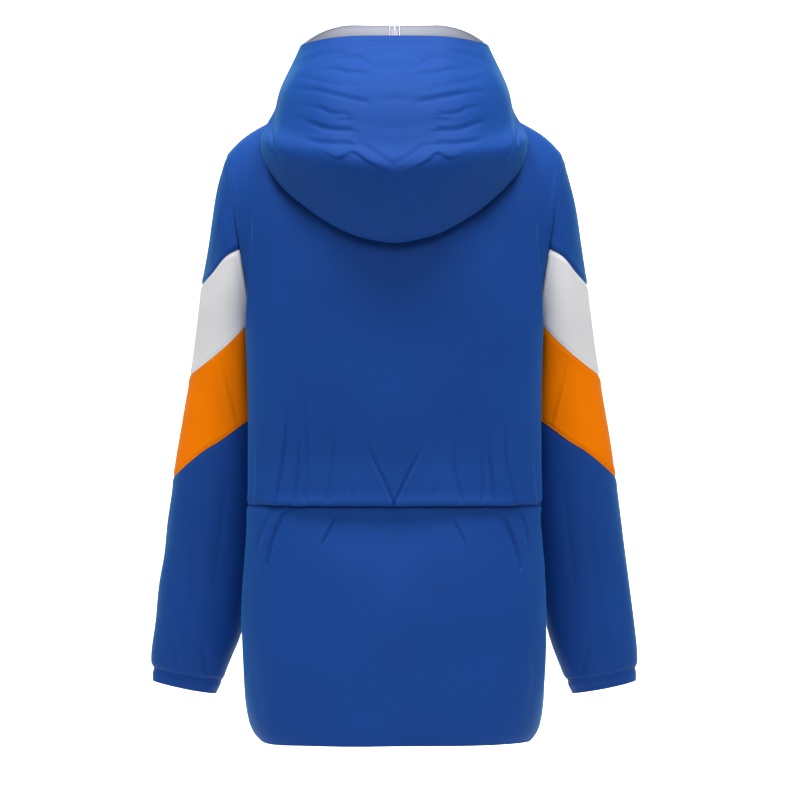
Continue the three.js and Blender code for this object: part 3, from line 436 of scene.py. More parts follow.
def crease_depth(across, down, creases, late=0.12):
    """How far creases lift (or sink) a point of the cloth, in millimetres."""
    lift = np.zeros_like(across)
    for points, width, depth, step, side in creases:
        path = through(np.array(points, float), np.linspace(0, len(points) - 1, 5 * len(points)))
        reach = 4 * STEP_FADE
        low, high = path.min(0) - reach, path.max(0) + reach
        near_by = (across > low[0]) & (across < high[0]) & (down > low[1]) & (down < high[1])
        if not near_by.any():
            continue
        x, y = across[near_by], down[near_by]
        near, signed, how_far = np.full(x.shape, 1e9), np.zeros_like(x), np.zeros_like(x)
        count = len(path) - 1
        for k in range(count):
            (ax, ay), (bx, by) = path[k], path[k + 1]
            dx, dy = bx - ax, by - ay
            t = np.clip(((x - ax) * dx + (y - ay) * dy) / (dx * dx + dy * dy), 0, 1)
            gap_x, gap_y = x - ax - t * dx, y - ay - t * dy
            gap = np.hypot(gap_x, gap_y)
            closer = gap < near
            near = np.where(closer, gap, near)
            signed = np.where(closer, np.sign(dx * gap_y - dy * gap_x) * gap * -side, signed)
            how_far = np.where(closer, (k + t) / count, how_far)
        strength = smooth(-0.05, 0.5, how_far) * (1 - late * smooth(0.8, 1, how_far))
        trough = np.exp(-((near / width) ** 2))
        beside = smooth(-width, 1.5 * width, signed) * np.exp(-np.maximum(signed, 0) / STEP_FADE) * np.exp(-((near / reach) ** 4) * 6)
        lift[near_by] += strength * (step * beside - depth * trough)
    return lift


def slack(points, size, height, seed):
    """Slow uneven waves of slack cloth, from a fixed seed."""
    chance = np.random.default_rng(seed)
    lift = np.zeros(points.shape[:-1])
    for _ in range(9):
        direction = chance.normal(size=3) * (1.2, 1.0, 0.7)
        direction *= 2 * math.pi / (size * chance.uniform(0.7, 1.8)) / np.linalg.norm(direction)
        lift += np.sin(points @ direction + chance.uniform(0, 2 * math.pi))
    return height * lift / 3


print("creases:", len(BACK_CREASES) + len(SKIRT_CREASES) + len(FRONT_CREASES) + len(HOOD_CREASES))

# %% [markdown]
# ## Sewing a panel
# A panel is a grid of points. Its normals come from its neighbours, so a lift along them makes a
# crease. Where two panels are sewn, the cloth turns in, which leaves a soft groove: the edge sinks over
# its last few millimetres. The sheet then gets its thickness, so it has an inside and a real edge.

# %% Grids, normals and walls
CLOTH = 1.0  # the fine sheet is thinner than the plain model's wall


def grid_normals(grid, closed, flip):
    """Outward normals of a grid of points."""
    down = np.gradient(grid, axis=0)
    if closed:
        over = np.roll(grid, -1, 1) - np.roll(grid, 1, 1)
    else:
        over = np.gradient(grid, axis=1)
    normal = np.cross(over, down) if flip else np.cross(down, over)
    return normal / np.maximum(np.linalg.norm(normal, axis=-1, keepdims=True), 1e-9)


def edge_distance(grid, axis, last):
    """Millimetres from each point to the first or last line of the grid."""
    steps = np.linalg.norm(np.diff(grid, axis=axis), axis=-1)
    if last:
        steps = np.flip(steps, axis)
    far = np.cumsum(steps, axis)
    far = np.concatenate([np.zeros_like(far.take([0], axis)), far], axis)
    return np.flip(far, axis) if last else far


def sew(grid, seams, closed=False, flip=False, depth=0.9, puff=0.5):
    """Sink the sewn edges of a panel into grooves, with the cloth puffed a little beside them."""
    normal = grid_normals(grid, closed, flip)
    places = {"top": (0, False), "bottom": (0, True), "start": (1, False), "end": (1, True)}
    lift = np.zeros(grid.shape[:-1])
    for name in seams:
        far = edge_distance(grid, *places[name])
        lift += puff * np.exp(-(((far - 7) / 4) ** 2)) - depth * np.exp(-((far / 2.2) ** 2))
    return grid + normal * lift[..., None]


def cloth(name, grid, material, closed=False, flip=False, thick=CLOTH, gap=0.12):
    """A closed thin sheet from a grid in millimetres, with a UV map in metres of cloth."""
    rows, columns = grid.shape[:2]
    normal = grid_normals(grid, closed, flip)
    outside = grid.copy()
    pulls = [(0, 1, 0), (-1, -2, 0)] + ([] if closed else [(0, 1, 1), (-1, -2, 1)])
    for edge, inside, axis in pulls:
        here = [slice(None)] * 3
        there = [slice(None)] * 3
        here[axis], there[axis] = edge, inside
        step = grid[tuple(there)] - grid[tuple(here)]
        length = np.maximum(np.linalg.norm(step, axis=-1, keepdims=True), 1e-9)
        outside[tuple(here)] += step / length * gap
    vertices = np.concatenate([outside.reshape(-1, 3), (outside - normal * thick).reshape(-1, 3)])
    wide = columns if closed else columns - 1
    i, j = np.meshgrid(np.arange(rows - 1), np.arange(wide), indexing="ij")
    k = (j + 1) % columns
    a, b, c, d = (i * columns + j, (i + 1) * columns + j, (i + 1) * columns + k, i * columns + k)
    outer = np.stack([a, d, c, b] if flip else [a, b, c, d], -1).reshape(-1, 4)
    shift = rows * columns
    inner = outer[:, ::-1] + shift
    rims = []
    top, bottom = np.stack([j[0], k[0]], -1), np.stack([j[0], k[0]], -1) + (rows - 1) * columns
    rims += [top[:, ::-1], bottom]
    if not closed:
        first = np.stack([np.arange(rows - 1), np.arange(1, rows)], -1) * columns
        rims += [first, first[:, ::-1] + columns - 1]
    edges = np.concatenate(rims)
    if flip:
        edges = edges[:, ::-1]
    strip = np.stack([edges[:, 0], edges[:, 0] + shift, edges[:, 1] + shift, edges[:, 1]], -1)
    strip = strip[:, ::-1]
    faces = np.concatenate([outer, inner, strip])
    mesh = bpy.data.meshes.new(name)
    mesh.from_pydata((vertices / 1000).tolist(), [], faces.tolist())
    wrapped = np.concatenate([grid, grid[:, :1]], 1) if closed else grid
    across = edge_distance(wrapped, 1, False)
    across = across - np.median(across[:, across.shape[1] // 2])
    place = np.stack([across, edge_distance(wrapped, 0, False)], -1) / 1000
    corners = [place[i, j], place[i + 1, j], place[i + 1, j + 1], place[i, j + 1]]
    if flip:
        corners = [corners[0], corners[3], corners[2], corners[1]]
    corners = np.stack(corners, -2).reshape(-1, 4, 2)
    flat = place[:, :columns].reshape(-1, 2)
    strip_corners = flat[strip % shift]
    uv = mesh.uv_layers.new(name="cloth")
    uv.data.foreach_set("uv", np.concatenate([corners, corners[:, ::-1], strip_corners]).ravel())
    mesh.polygons.foreach_set("use_smooth", [True] * len(mesh.polygons))
    mesh.materials.append(material)
    piece = bpy.data.objects.new(name, mesh)
    bpy.context.scene.collection.objects.link(piece)
    area = float(sum(polygon.area for polygon in mesh.polygons)) / 2
    print(f"{name}: {rows} x {columns} points, {area:.3f} square metres of cloth")
    return piece


# %% [markdown]
# ## Cloth finishes
# The shell is a light nylon: a tight weave that scatters light, with a slight silky sheen, and fine
# dry wrinkles between the big creases. One recipe makes each colour. The weave follows the cloth's own
# UV map, and the wrinkles and the small differences in dye follow the object.

# %% A recipe for woven nylon
def linear(red, green, blue):
    """A colour given from 0 to 255 as the shader wants it."""
    values = [value / 255 for value in (red, green, blue)]
    return [value / 12.92 if value <= 0.04045 else ((value + 0.055) / 1.055) ** 2.4 for value in values]


def woven(name, colour, roughness=0.6, sheen=0.2, wrinkle=0.16, pitch=0.0009, deeper=0.9, nap=None, shine=0.12,
          flat=("UV", "X", "Y")):
    """A woven cloth material with a weave bump, dry wrinkles and uneven dye."""
    material = bpy.data.materials.new(name)
    material.use_nodes = True
    nodes, links = material.node_tree.nodes, material.node_tree.links
    shader = nodes["Principled BSDF"]
    shader.inputs["Sheen Weight"].default_value = sheen
    shader.inputs["Sheen Roughness"].default_value = 0.4
    shader.inputs["Sheen Tint"].default_value = (*linear(*(nap or colour)), 1)
    shader.inputs["IOR"].default_value = 1.45
    shader.inputs["Specular IOR Level"].default_value = shine
    where = nodes.new("ShaderNodeTexCoord")
    dye = nodes.new("ShaderNodeTexNoise")
    dye.inputs["Scale"].default_value = 9
    dye.inputs["Detail"].default_value = 5
    links.new(where.outputs["Object"], dye.inputs["Vector"])
    shades = nodes.new("ShaderNodeValToRGB")
    shades.color_ramp.elements[0].position = 0.3
    shades.color_ramp.elements[0].color = (*[value * deeper for value in linear(*colour)], 1)
    shades.color_ramp.elements[1].position = 0.7
    shades.color_ramp.elements[1].color = (*linear(*colour), 1)
    links.new(dye.outputs["Fac"], shades.inputs["Fac"])
    threads = []
    for direction in flat[1:]:
        wave = nodes.new("ShaderNodeTexWave")
        wave.bands_direction = direction
        wave.inputs["Scale"].default_value = 2 * math.pi / 20 / pitch
        wave.inputs["Distortion"].default_value = 0.6
        wave.inputs["Detail Scale"].default_value = 3
        links.new(where.outputs[flat[0]], wave.inputs["Vector"])
        threads.append(wave)
    weave = nodes.new("ShaderNodeMath")
    weave.operation = "MULTIPLY"
    links.new(threads[0].outputs["Fac"], weave.inputs[0])
    links.new(threads[1].outputs["Fac"], weave.inputs[1])
    darker = nodes.new("ShaderNodeMix")
    darker.data_type = "RGBA"
    darker.blend_type = "MULTIPLY"
    darker.inputs["Factor"].default_value = 0.12
    links.new(shades.outputs["Color"], darker.inputs["A"])
    links.new(weave.outputs["Value"], darker.inputs["B"])
    links.new(darker.outputs["Result"], shader.inputs["Base Color"])
    gloss = nodes.new("ShaderNodeMapRange")
    gloss.inputs["To Min"].default_value = roughness - 0.06
    gloss.inputs["To Max"].default_value = roughness + 0.08
    links.new(dye.outputs["Fac"], gloss.inputs["Value"])
    links.new(gloss.outputs["Result"], shader.inputs["Roughness"])
    stretch = nodes.new("ShaderNodeMapping")
    stretch.inputs["Scale"].default_value = (1.0, 1.0, 0.45)
    links.new(where.outputs["Object"], stretch.inputs["Vector"])
    creased = nodes.new("ShaderNodeTexNoise")
    creased.inputs["Scale"].default_value = 34
    creased.inputs["Detail"].default_value = 3
    creased.inputs["Roughness"].default_value = 0.45
    creased.inputs["Distortion"].default_value = 0.7
    links.new(stretch.outputs["Vector"], creased.inputs["Vector"])
    wrinkles = nodes.new("ShaderNodeBump")
    wrinkles.inputs["Strength"].default_value = wrinkle
    wrinkles.inputs["Distance"].default_value = 0.003
    links.new(creased.outputs["Fac"], wrinkles.inputs["Height"])
    grain = nodes.new("ShaderNodeBump")
    grain.inputs["Strength"].default_value = 0.25
    grain.inputs["Distance"].default_value = 0.00012
    links.new(weave.outputs["Value"], grain.inputs["Height"])
    links.new(wrinkles.outputs["Normal"], grain.inputs["Normal"])
    links.new(grain.outputs["Normal"], shader.inputs["Normal"])
    return material


blue_nylon = woven("blue_nylon", (25, 69, 147), sheen=0.22, nap=(40, 190, 240), shine=0.09)
white_nylon = woven("white_nylon", (227, 227, 229), sheen=0.05, wrinkle=0.12, deeper=0.96)
orange_nylon = woven("orange_nylon", (252, 129, 0), sheen=0.0, wrinkle=0.12, deeper=0.95, shine=0.03)
lining_cloth = woven("lining_cloth", (160, 163, 177), roughness=0.6, sheen=0.1, wrinkle=0.2, deeper=0.94)
zip_tape = woven("zip_tape", (160, 163, 177), 0.7, 0.1, 0.05, 0.0007, 0.95, flat=("Object", "X", "Z"))
print("finishes:", [m.name for m in bpy.data.materials if m.name.endswith(("nylon", "cloth"))])

# %% [markdown]
# ## Thread, teeth and metal
# Sewing thread is a twisted strand with a soft shine. The zip's teeth are moulded, so they are smooth
# and a little glossy. The slider and its tab are metal painted to match the tape, so that nothing dark
# shows over the rim; their paint is uneven and thin along the tab, which a stretched noise shows.

# %% Finishes of the small parts
def plain(name, colour, low, high, scale, metallic=0.0, bump=0.00005, stretch=(1, 1, 1)):
    """A finish whose colour and gloss vary a little, with a fine bump."""
    material = bpy.data.materials.new(name)
    material.use_nodes = True
    nodes, links = material.node_tree.nodes, material.node_tree.links
    shader = nodes["Principled BSDF"]
    shader.inputs["Metallic"].default_value = metallic
    where, placed = nodes.new("ShaderNodeTexCoord"), nodes.new("ShaderNodeMapping")
    placed.inputs["Scale"].default_value = stretch
    links.new(where.outputs["Object"], placed.inputs["Vector"])
    grain = nodes.new("ShaderNodeTexNoise")
    grain.inputs["Scale"].default_value = scale
    grain.inputs["Detail"].default_value = 4
    links.new(placed.outputs["Vector"], grain.inputs["Vector"])
    shades = nodes.new("ShaderNodeValToRGB")
    shades.color_ramp.elements[0].color = (*[value * 0.8 for value in linear(*colour)], 1)
    shades.color_ramp.elements[1].color = (*[min(1, value * 1.15) for value in linear(*colour)], 1)
    links.new(grain.outputs["Fac"], shades.inputs["Fac"])
    links.new(shades.outputs["Color"], shader.inputs["Base Color"])
    gloss = nodes.new("ShaderNodeMapRange")
    gloss.inputs["To Min"].default_value, gloss.inputs["To Max"].default_value = low, high
    links.new(grain.outputs["Fac"], gloss.inputs["Value"])
    links.new(gloss.outputs["Result"], shader.inputs["Roughness"])
    relief = nodes.new("ShaderNodeBump")
    relief.inputs["Distance"].default_value = bump
    links.new(grain.outputs["Fac"], relief.inputs["Height"])
    links.new(relief.outputs["Normal"], shader.inputs["Normal"])
    return material


blue_thread = plain("blue_thread", (44, 88, 176), 0.4, 0.6, 900)
moulded_teeth = plain("moulded_teeth", (164, 167, 184), 0.3, 0.45, 400)
painted_metal = plain("painted_metal", (160, 163, 178), 0.32, 0.5, 260, metallic=0.35, stretch=(1, 1, 0.08))
for node, finish in (("zip", zip_tape), ("zip_slider", painted_metal), ("zip_pull", painted_metal)):
    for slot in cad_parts[node].material_slots:
        slot.material = finish
    print(node, "has", [slot.material.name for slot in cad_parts[node].material_slots])

# %% [markdown]
# ## Body panels
# The back has one panel above the waist seam and one below. The upper one bags over the seam by a few
# millimetres, which gives the seam its shadow. The fronts repeat them on both sides of the zip.

# %% Grids of the body
def halves(half_grid):
    """A whole back from its left half."""
    other = half_grid[:, :0:-1] * (-1, 1, 1)
    return np.concatenate([other, half_grid], 1)


def spaced(count_flat, count_side, turn_at=0.72):
    """Shares across a half: fine on the flat back, coarser where the cloth turns to the side."""
    return np.concatenate([np.linspace(0, turn_at, count_flat, endpoint=False), np.linspace(turn_at, 1, count_side)])


BAG_OUT, BAG_DOWN, BAG_FROM = 1.8, 4.2, 17.0  # how the cloth hangs over the waist seam, and from how high


def upper_body(side, shares, high=50, low=52):
    """The body from its top edge to the waist seam."""
    above = chest(side, shares, np.linspace(0, 1, high) ** 0.96)
    levels = np.concatenate([np.linspace(UNDERARM_Z, WAIST_Z + BAG_FROM, low)[1:], np.linspace(WAIST_Z + BAG_FROM, WAIST_Z, 16)[1:]])
    below = np.stack([np.concatenate([section(z, side, shares), np.full((len(shares), 1), z)], -1) for z in levels])
    grid = np.concatenate([above, below])
    bag = BLOUSE * smooth(WAIST_Z + 60, WAIST_Z + 12, grid[..., 2]) * (1 - smooth(0.7, 0.9, shares))
    hang = np.clip(1 - (grid[..., 2] - WAIST_Z) / BAG_FROM, 0, 1)
    hang = 6.75 * hang**2 * (1 - hang) * (1 - smooth(0.5, 0.66, shares))
    grid[..., 2] -= BAG_DOWN * hang
    grid[..., 1] += (bag + BAG_OUT * hang) * (1 if side == "back" else -1)
    return grid


def lower_body(side, shares, count=90):
    """The body from the waist seam to the hem."""
    levels = WAIST_Z + (HEM_Z - WAIST_Z) * np.linspace(0, 1, count) ** 1.15
    return np.stack([np.concatenate([section(z, side, shares), np.full((len(shares), 1), z)], -1) for z in levels])


def front_picture(points):
    """The same pixels for the front, as a mirror would show it."""
    return 394.5 + points[..., 0] / MM_PER_PIXEL, 122 - points[..., 2] / MM_PER_PIXEL


def crease(grid, table, flip, closed=False, picture=in_picture, facing=1, seed=1, waves=(90, 0.8), edge=None):
    """Lift a grid by its creases and its slack where it faces the picture."""
    normal = grid_normals(grid, closed, flip)
    across, down = picture(grid)
    seen = smooth(0.05, 0.45, normal[..., 1] * facing)
    lift = crease_depth(across, down, table) * seen
    calm = np.ones_like(lift) if edge is None else edge
    lift += slack(grid, waves[0], waves[1], seed) * calm
    return grid + normal * lift[..., None]


def piece_of(name, grid, material, slot, nodes, cut, **options):
    """Make one cloth piece and let it stand for its plain nodes; its cut (width, length, area) is not used."""
    made = cloth(name, grid, material, **options)
    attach(made, "jacket")
    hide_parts(*nodes)
    return made


def calm_edges(grid, names, reach=14):
    """1 inside a panel and 0 at the named edges, so that sewn panels still meet."""
    places = {"top": (0, False), "bottom": (0, True), "start": (1, False), "end": (1, True)}
    calm = np.ones(grid.shape[:-1])
    for name in names:
        calm *= smooth(0, reach, edge_distance(grid, *places[name]))
    return calm


def beside_edge(grid, edge, inset, flip, closed=False, off=0.12):
    """A line on a panel, a few millimetres inside one of its edges, just proud of the cloth."""
    axis, last = {"top": (0, False), "bottom": (0, True), "start": (1, False), "end": (1, True)}[edge]
    far = edge_distance(grid, axis, last)
    lifted = grid + off * grid_normals(grid, closed, flip)
    if axis == 1:
        far, lifted = far.T, lifted.transpose(1, 0, 2)
    if last:
        far, lifted = far[::-1], lifted[::-1]
    line = [[np.interp(inset, far[:, k], lifted[:, k, c]) for c in range(3)] for k in range(far.shape[1])]
    return np.array(line)


ALL_EDGES = ("top", "bottom", "start", "end")
seam_lines = []  # where the sewing machine went, as lines in millimetres
shares = spaced(162, 40)
grid = halves(upper_body("back", shares))
grid = crease(grid, BACK_CREASES, True, seed=3, edge=calm_edges(grid, ALL_EDGES))
grid = sew(grid, ALL_EDGES, flip=True)
seam_lines += [beside_edge(grid, edge, 3, True) for edge in ("start", "end")]
seam_lines[-2:] = [line[: np.searchsorted(-line[:, 2], -UNDERARM_Z)] for line in seam_lines[-2:]]
back_upper = piece_of("back_upper_cloth", grid, blue_nylon, "shell_blue", ["back_upper"], (0.5, 0.53, 0.24), flip=True)

grid = halves(lower_body("back", shares))
grid = crease(grid, SKIRT_CREASES, True, seed=5, waves=(120, 1.2), edge=calm_edges(grid, ("top", "start", "end")))
grid = sew(grid, ("top", "start", "end"), flip=True)
seam_lines.append(beside_edge(grid, "top", 3.4, True))
back_lower = piece_of("back_lower_cloth", grid, blue_nylon, "shell_blue", ["back_lower"], (0.53, 0.305, 0.155), flip=True)

# %% The fronts, on both sides of the zip
shares = spaced(64, 20)
for hand, name in ((1, "left"), (-1, "right")):
    flip = hand < 0
    upper = upper_body("front", shares, 44, 44) * (hand, 1, 1)
    look = dict(picture=front_picture, facing=-1)
    upper = crease(upper, FRONT_CREASES, flip, seed=7 + hand, edge=calm_edges(upper, ALL_EDGES), **look)
    upper = sew(upper, ALL_EDGES, flip=flip)
    armhole = beside_edge(upper, "end", 3, flip)
    seam_lines += [armhole[: np.searchsorted(-armhole[:, 2], -UNDERARM_Z)], beside_edge(upper, "start", 4, flip)]
    piece_of(f"front_upper_{name}_cloth", upper, blue_nylon, "shell_blue", [f"front_upper_{name}"], (0.25, 0.5, 0.1), flip=flip)
    lower = lower_body("front", shares, 64) * (hand, 1, 1)
    lower = crease(lower, FRONT_CREASES, flip, seed=9 + hand, edge=calm_edges(lower, ("top", "start", "end")), **look)
    lower = sew(lower, ("top", "start", "end"), flip=flip)
    seam_lines += [beside_edge(lower, "top", 3.4, flip), beside_edge(lower, "start", 4, flip)]
    piece_of(f"front_lower_{name}_cloth", lower, blue_nylon, "shell_blue", [f"front_lower_{name}"], (0.245, 0.3, 0.066), flip=flip)

# %% [markdown]
# ## Sleeve panels
# Each sleeve is five pieces: a blue top, the white and the orange stripe, the blue lower sleeve and the
# cuff's band. The top and the white stripe end in points at the armhole, because their edges climb.

# %% Five pieces for each sleeve
TIP = 0.006


def meets(name):
    """The share of a half turn at which a stripe's edge meets the armhole."""
    turns = np.linspace(0, 0.5, 2001)
    return 2 * turns[np.argmax(stripe_row(turns, name) <= 0)]


def band(turns, start, end, count):
    """Rows of a sleeve between two lines given as a row for each turn."""
    share = np.linspace(0, 1, count)[:, None]
    return sleeve(turns[None, :], mix(start[None, :], end[None, :], share))


white_meets, orange_meets = meets("white"), meets("orange")
round_turns = np.linspace(0, 1, 132, endpoint=False)
top_turns = np.linspace(-0.5, 0.5, 110) * (white_meets - TIP)
white_turns = np.linspace(-0.5, 0.5, 128) * (orange_meets - TIP)
cuff_row, last_row = np.full(132, float(CUFF_ROW)), np.full(132, len(SLEEVE) - 1.0)
SLEEVE_PIECES = [
    # name, turns, first line, last line, rows, cloth, slot, cut: width and length in m and area in m2
    ("sleeve_top", top_turns, top_turns * 0, stripe_row(top_turns, "white"), 54, blue_nylon, "shell_blue", (0.24, 0.17, 0.019)),
    ("sleeve_white", white_turns, stripe_row(white_turns, "white"), stripe_row(white_turns, "orange"), 40, white_nylon, "shell_white", (0.4, 0.15, 0.023)),
    ("sleeve_orange", round_turns, stripe_row(round_turns, "orange"), stripe_row(round_turns, "lower"), 48, orange_nylon, "shell_orange", (0.37, 0.19, 0.042)),
    ("sleeve_lower", round_turns, stripe_row(round_turns, "lower"), cuff_row, 76, blue_nylon, "shell_blue", (0.37, 0.31, 0.095)),
    ("cuff", round_turns, cuff_row, last_row, 10, blue_nylon, "shell_blue", (0.25, 0.02, 0.0043)),
]
for hand, side in ((1, "left"), (-1, "right")):
    flip = hand < 0
    folds = [([(x if hand > 0 else 789 - x, y) for x, y in path], *row, way * hand) for path, *row, way in SLEEVE_CREASES]
    for name, turns, first, last, rows, material, slot, cut in SLEEVE_PIECES:
        closed = len(turns) == 132
        edges = ("top", "bottom") if closed else ALL_EDGES
        if name == "cuff":
            edges = ("top",)
        grid = band(turns, first, last, rows) * (hand, 1, 1)
        calm = calm_edges(grid, edges, 10)
        for facing in (1, -1):
            grid = crease(grid, folds, flip, closed, facing=facing, seed=20 + hand, waves=(70, 0.35), edge=calm)
        grid = sew(grid, edges, closed, flip, depth=0.7)
        if name == "sleeve_lower":
            around = beside_edge(grid, "bottom", 3, flip, closed)
            seam_lines.append(np.concatenate([around, around[:1]]))
        piece_of(f"{name}_{side}_cloth", grid, material, slot, [f"{name}_{side}"], cut, closed=closed, flip=flip)

# %% [markdown]
# ## Hood and lining
# The hood is one seamless sheet here: its crown seams don't show in the picture. Cross creases lie on
# its upper part, strongest on each side, where the crown bends. The lining follows 3 mm inside.

# %% The hood's sheet and its lining
seen_turns = np.linspace(0, 0.46, 92, endpoint=False)
hidden_turns = np.linspace(0.46, 1, 40)
turns = np.concatenate([-hidden_turns[::-1], -seen_turns[:0:-1], seen_turns, hidden_turns])
rises = np.concatenate([np.linspace(0, 0.6, 46, endpoint=False), np.linspace(0.6, 1, 132)])
grid = hood(turns[None, :], rises[:, None])
upper_part = smooth(0.56, 0.66, rises)[:, None]
normal = grid_normals(grid, False, False)
across, down = in_picture(grid)
lift = crease_depth(across, down, HOOD_CREASES) * smooth(0, 0.4, normal[..., 1]) * upper_part
lift += slack(grid, 70, 0.6, 31) * calm_edges(grid, ALL_EDGES)
grid = sew(grid + normal * lift[..., None], ("top", "start", "end"))
seam_lines.append(beside_edge(grid, "bottom", 8, False))
hood_cloth = piece_of("hood_cloth", grid, blue_nylon, "shell_blue", ["hood_crown", "hood_side_left", "hood_side_right"], (0.8, 0.42, 0.228))

turns = np.linspace(-0.997, 0.997, 130)
rises = np.concatenate([np.linspace(0.14, 0.95, 68, endpoint=False), np.linspace(0.95, 1.0008, 12)])
grid = hood(turns[None, :], rises[:, None])
normal = grid_normals(grid, False, False)
inset = mix(4.0, 3.0, smooth(0.34, 0.5, rises)) - 1.8 * smooth(0.955, 0.995, rises)
inset = inset[:, None, None]
grid = grid - normal * inset
lining = piece_of("lining_cloth_piece", grid, lining_cloth, "lining", ["hood_lining"], (0.78, 0.4, 0.215), thick=0.8)

# %% [markdown]
# ## Stitches and teeth
# Stitches and zip teeth are one small shape repeated along a line, which is what Geometry Nodes is for.
# The tree takes lines as mesh edges, makes them curves, sets points at an even pitch, puts the small
# shape on each and realises the copies. Stitches turn with the line, and each second tooth steps aside.

# %% A tree that repeats a small shape along lines
def link(tree, source, output, target, key):
    """Join two sockets of a tree."""
    tree.links.new(source.outputs[output], target.inputs[key])


def repeat_tree(name, material, tooth):
    """Geometry nodes that set a stitch or a tooth at every pitch along the edges of a mesh."""
    tree = bpy.data.node_groups.new(name, "GeometryNodeTree")
    face = tree.interface
    face.new_socket("Geometry", in_out="INPUT", socket_type="NodeSocketGeometry")
    for title in ("Pitch", "Long", "Wide", "Thick", "Aside"):
        face.new_socket(title, in_out="INPUT", socket_type="NodeSocketFloat")
    face.new_socket("Geometry", in_out="OUTPUT", socket_type="NodeSocketGeometry")
    new = tree.nodes.new
    given, done = new("NodeGroupInput"), new("NodeGroupOutput")
    curve, points = new("GeometryNodeMeshToCurve"), new("GeometryNodeCurveToPoints")
    points.mode = "LENGTH"
    link(tree, given, "Geometry", curve, "Mesh")
    link(tree, curve, "Curve", points, "Curve")
    link(tree, given, "Pitch", points, "Length")
    size = new("ShaderNodeCombineXYZ")
    link(tree, given, "Wide", size, "X")
    link(tree, given, "Thick", size, "Y")
    link(tree, given, "Long", size, "Z")
    turned = new("FunctionNodeAxesToRotation")
    turned.primary_axis, turned.secondary_axis = "Z", "X"
    turned.inputs["Secondary Axis"].default_value = (1, 0, 0)
    link(tree, points, "Tangent", turned, "Primary Axis")
    moved = new("GeometryNodeSetPosition")
    index, odd, shift, way = (new(kind) for kind in ("GeometryNodeInputIndex", "ShaderNodeMath", "ShaderNodeMath", "ShaderNodeCombineXYZ"))
    odd.operation, shift.operation = "PINGPONG", "MULTIPLY_ADD"
    odd.inputs[1].default_value = 1
    link(tree, index, "Index", odd, 0)
    tree.links.new(odd.outputs[0], shift.inputs[0])
    double = new("ShaderNodeMath")
    double.operation = "MULTIPLY"
    double.inputs[1].default_value = 2
    less = new("ShaderNodeMath")
    less.operation = "MULTIPLY"
    less.inputs[1].default_value = -1
    link(tree, given, "Aside", double, 0)
    link(tree, given, "Aside", less, 0)
    tree.links.new(double.outputs[0], shift.inputs[1])
    tree.links.new(less.outputs[0], shift.inputs[2])
    tree.links.new(shift.outputs[0], way.inputs["X"])
    link(tree, points, "Points", moved, "Geometry")
    link(tree, way, "Vector", moved, "Offset")
    if tooth:
        block, shape = new("GeometryNodeMeshCube"), new("GeometryNodeSubdivisionSurface")
        block.inputs["Size"].default_value = (1, 1, 1)
        shape.inputs["Level"].default_value = 1
        shape.inputs["Edge Crease"].default_value = 0.5
        link(tree, block, "Mesh", shape, "Mesh")
        shape_out = "Mesh"
    else:
        shape = new("GeometryNodeMeshIcoSphere")
        shape.inputs["Radius"].default_value = 0.5
        shape_out = "Mesh"
    varied, sized = new("FunctionNodeRandomValue"), new("ShaderNodeVectorMath")
    varied.inputs[2].default_value, varied.inputs[3].default_value = (1.0, 1.0) if tooth else (0.9, 1.1)
    varied.inputs["Seed"].default_value = 7
    sized.operation = "SCALE"
    link(tree, size, "Vector", sized, 0)
    tree.links.new(varied.outputs[1], sized.inputs["Scale"])
    placed = new("GeometryNodeInstanceOnPoints")
    link(tree, moved, "Geometry", placed, "Points")
    link(tree, shape, shape_out, placed, "Instance")
    link(tree, turned, "Rotation", placed, "Rotation")
    link(tree, sized, "Vector", placed, "Scale")
    real, coloured = new("GeometryNodeRealizeInstances"), new("GeometryNodeSetMaterial")
    coloured.inputs["Material"].default_value = material
    link(tree, placed, "Instances", real, "Geometry")
    link(tree, real, "Geometry", coloured, "Geometry")
    link(tree, coloured, "Geometry", done, "Geometry")
    return tree


def repeated(name, lines, tree, sizes):
    """One mesh of small shapes along lines given in millimetres."""
    vertices, edges = [], []
    for line in lines:
        start = len(vertices)
        vertices += (line / 1000).tolist()
        edges += [(start + k, start + k + 1) for k in range(len(line) - 1)]
    mesh = bpy.data.meshes.new(name + "_line")
    mesh.from_pydata(vertices, edges, [])
    host = bpy.data.objects.new(name + "_line", mesh)
    bpy.context.scene.collection.objects.link(host)
    modifier = host.modifiers.new("repeat", "NODES")
    modifier.node_group = tree
    sockets = {item.name: item.identifier for item in tree.interface.items_tree if item.in_out == "INPUT"}
    for title, size in sizes.items():
        modifier[sockets[title]] = size
    bpy.context.view_layer.update()
    result = bpy.data.meshes.new_from_object(host.evaluated_get(bpy.context.evaluated_depsgraph_get()))
    host.modifiers.clear()
    bpy.data.objects.remove(host)
    finish = next(material for material in result.materials if material)
    result.materials.clear()
    result.materials.append(finish)
    result.polygons.foreach_set("material_index", [0] * len(result.polygons))
    result.polygons.foreach_set("use_smooth", [True] * len(result.polygons))
    made = bpy.data.objects.new(name, result)
    bpy.context.scene.collection.objects.link(made)
    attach(made, "jacket")
    print(name, len(lines), "lines,", len(result.polygons), "faces of", finish.name)
    return made


stitch_tree = repeat_tree("stitch", blue_thread, False)
stitch_sizes = {"Pitch": 0.0031, "Long": 0.0023, "Wide": 0.0005, "Thick": 0.0005, "Aside": 0.0}
stitches = repeated("stitches", seam_lines, stitch_tree, stitch_sizes)

# %% Teeth of the zip
ZIP_CHAIN_END, ZIP_CHAIN_RISE = 119.0, 1.0


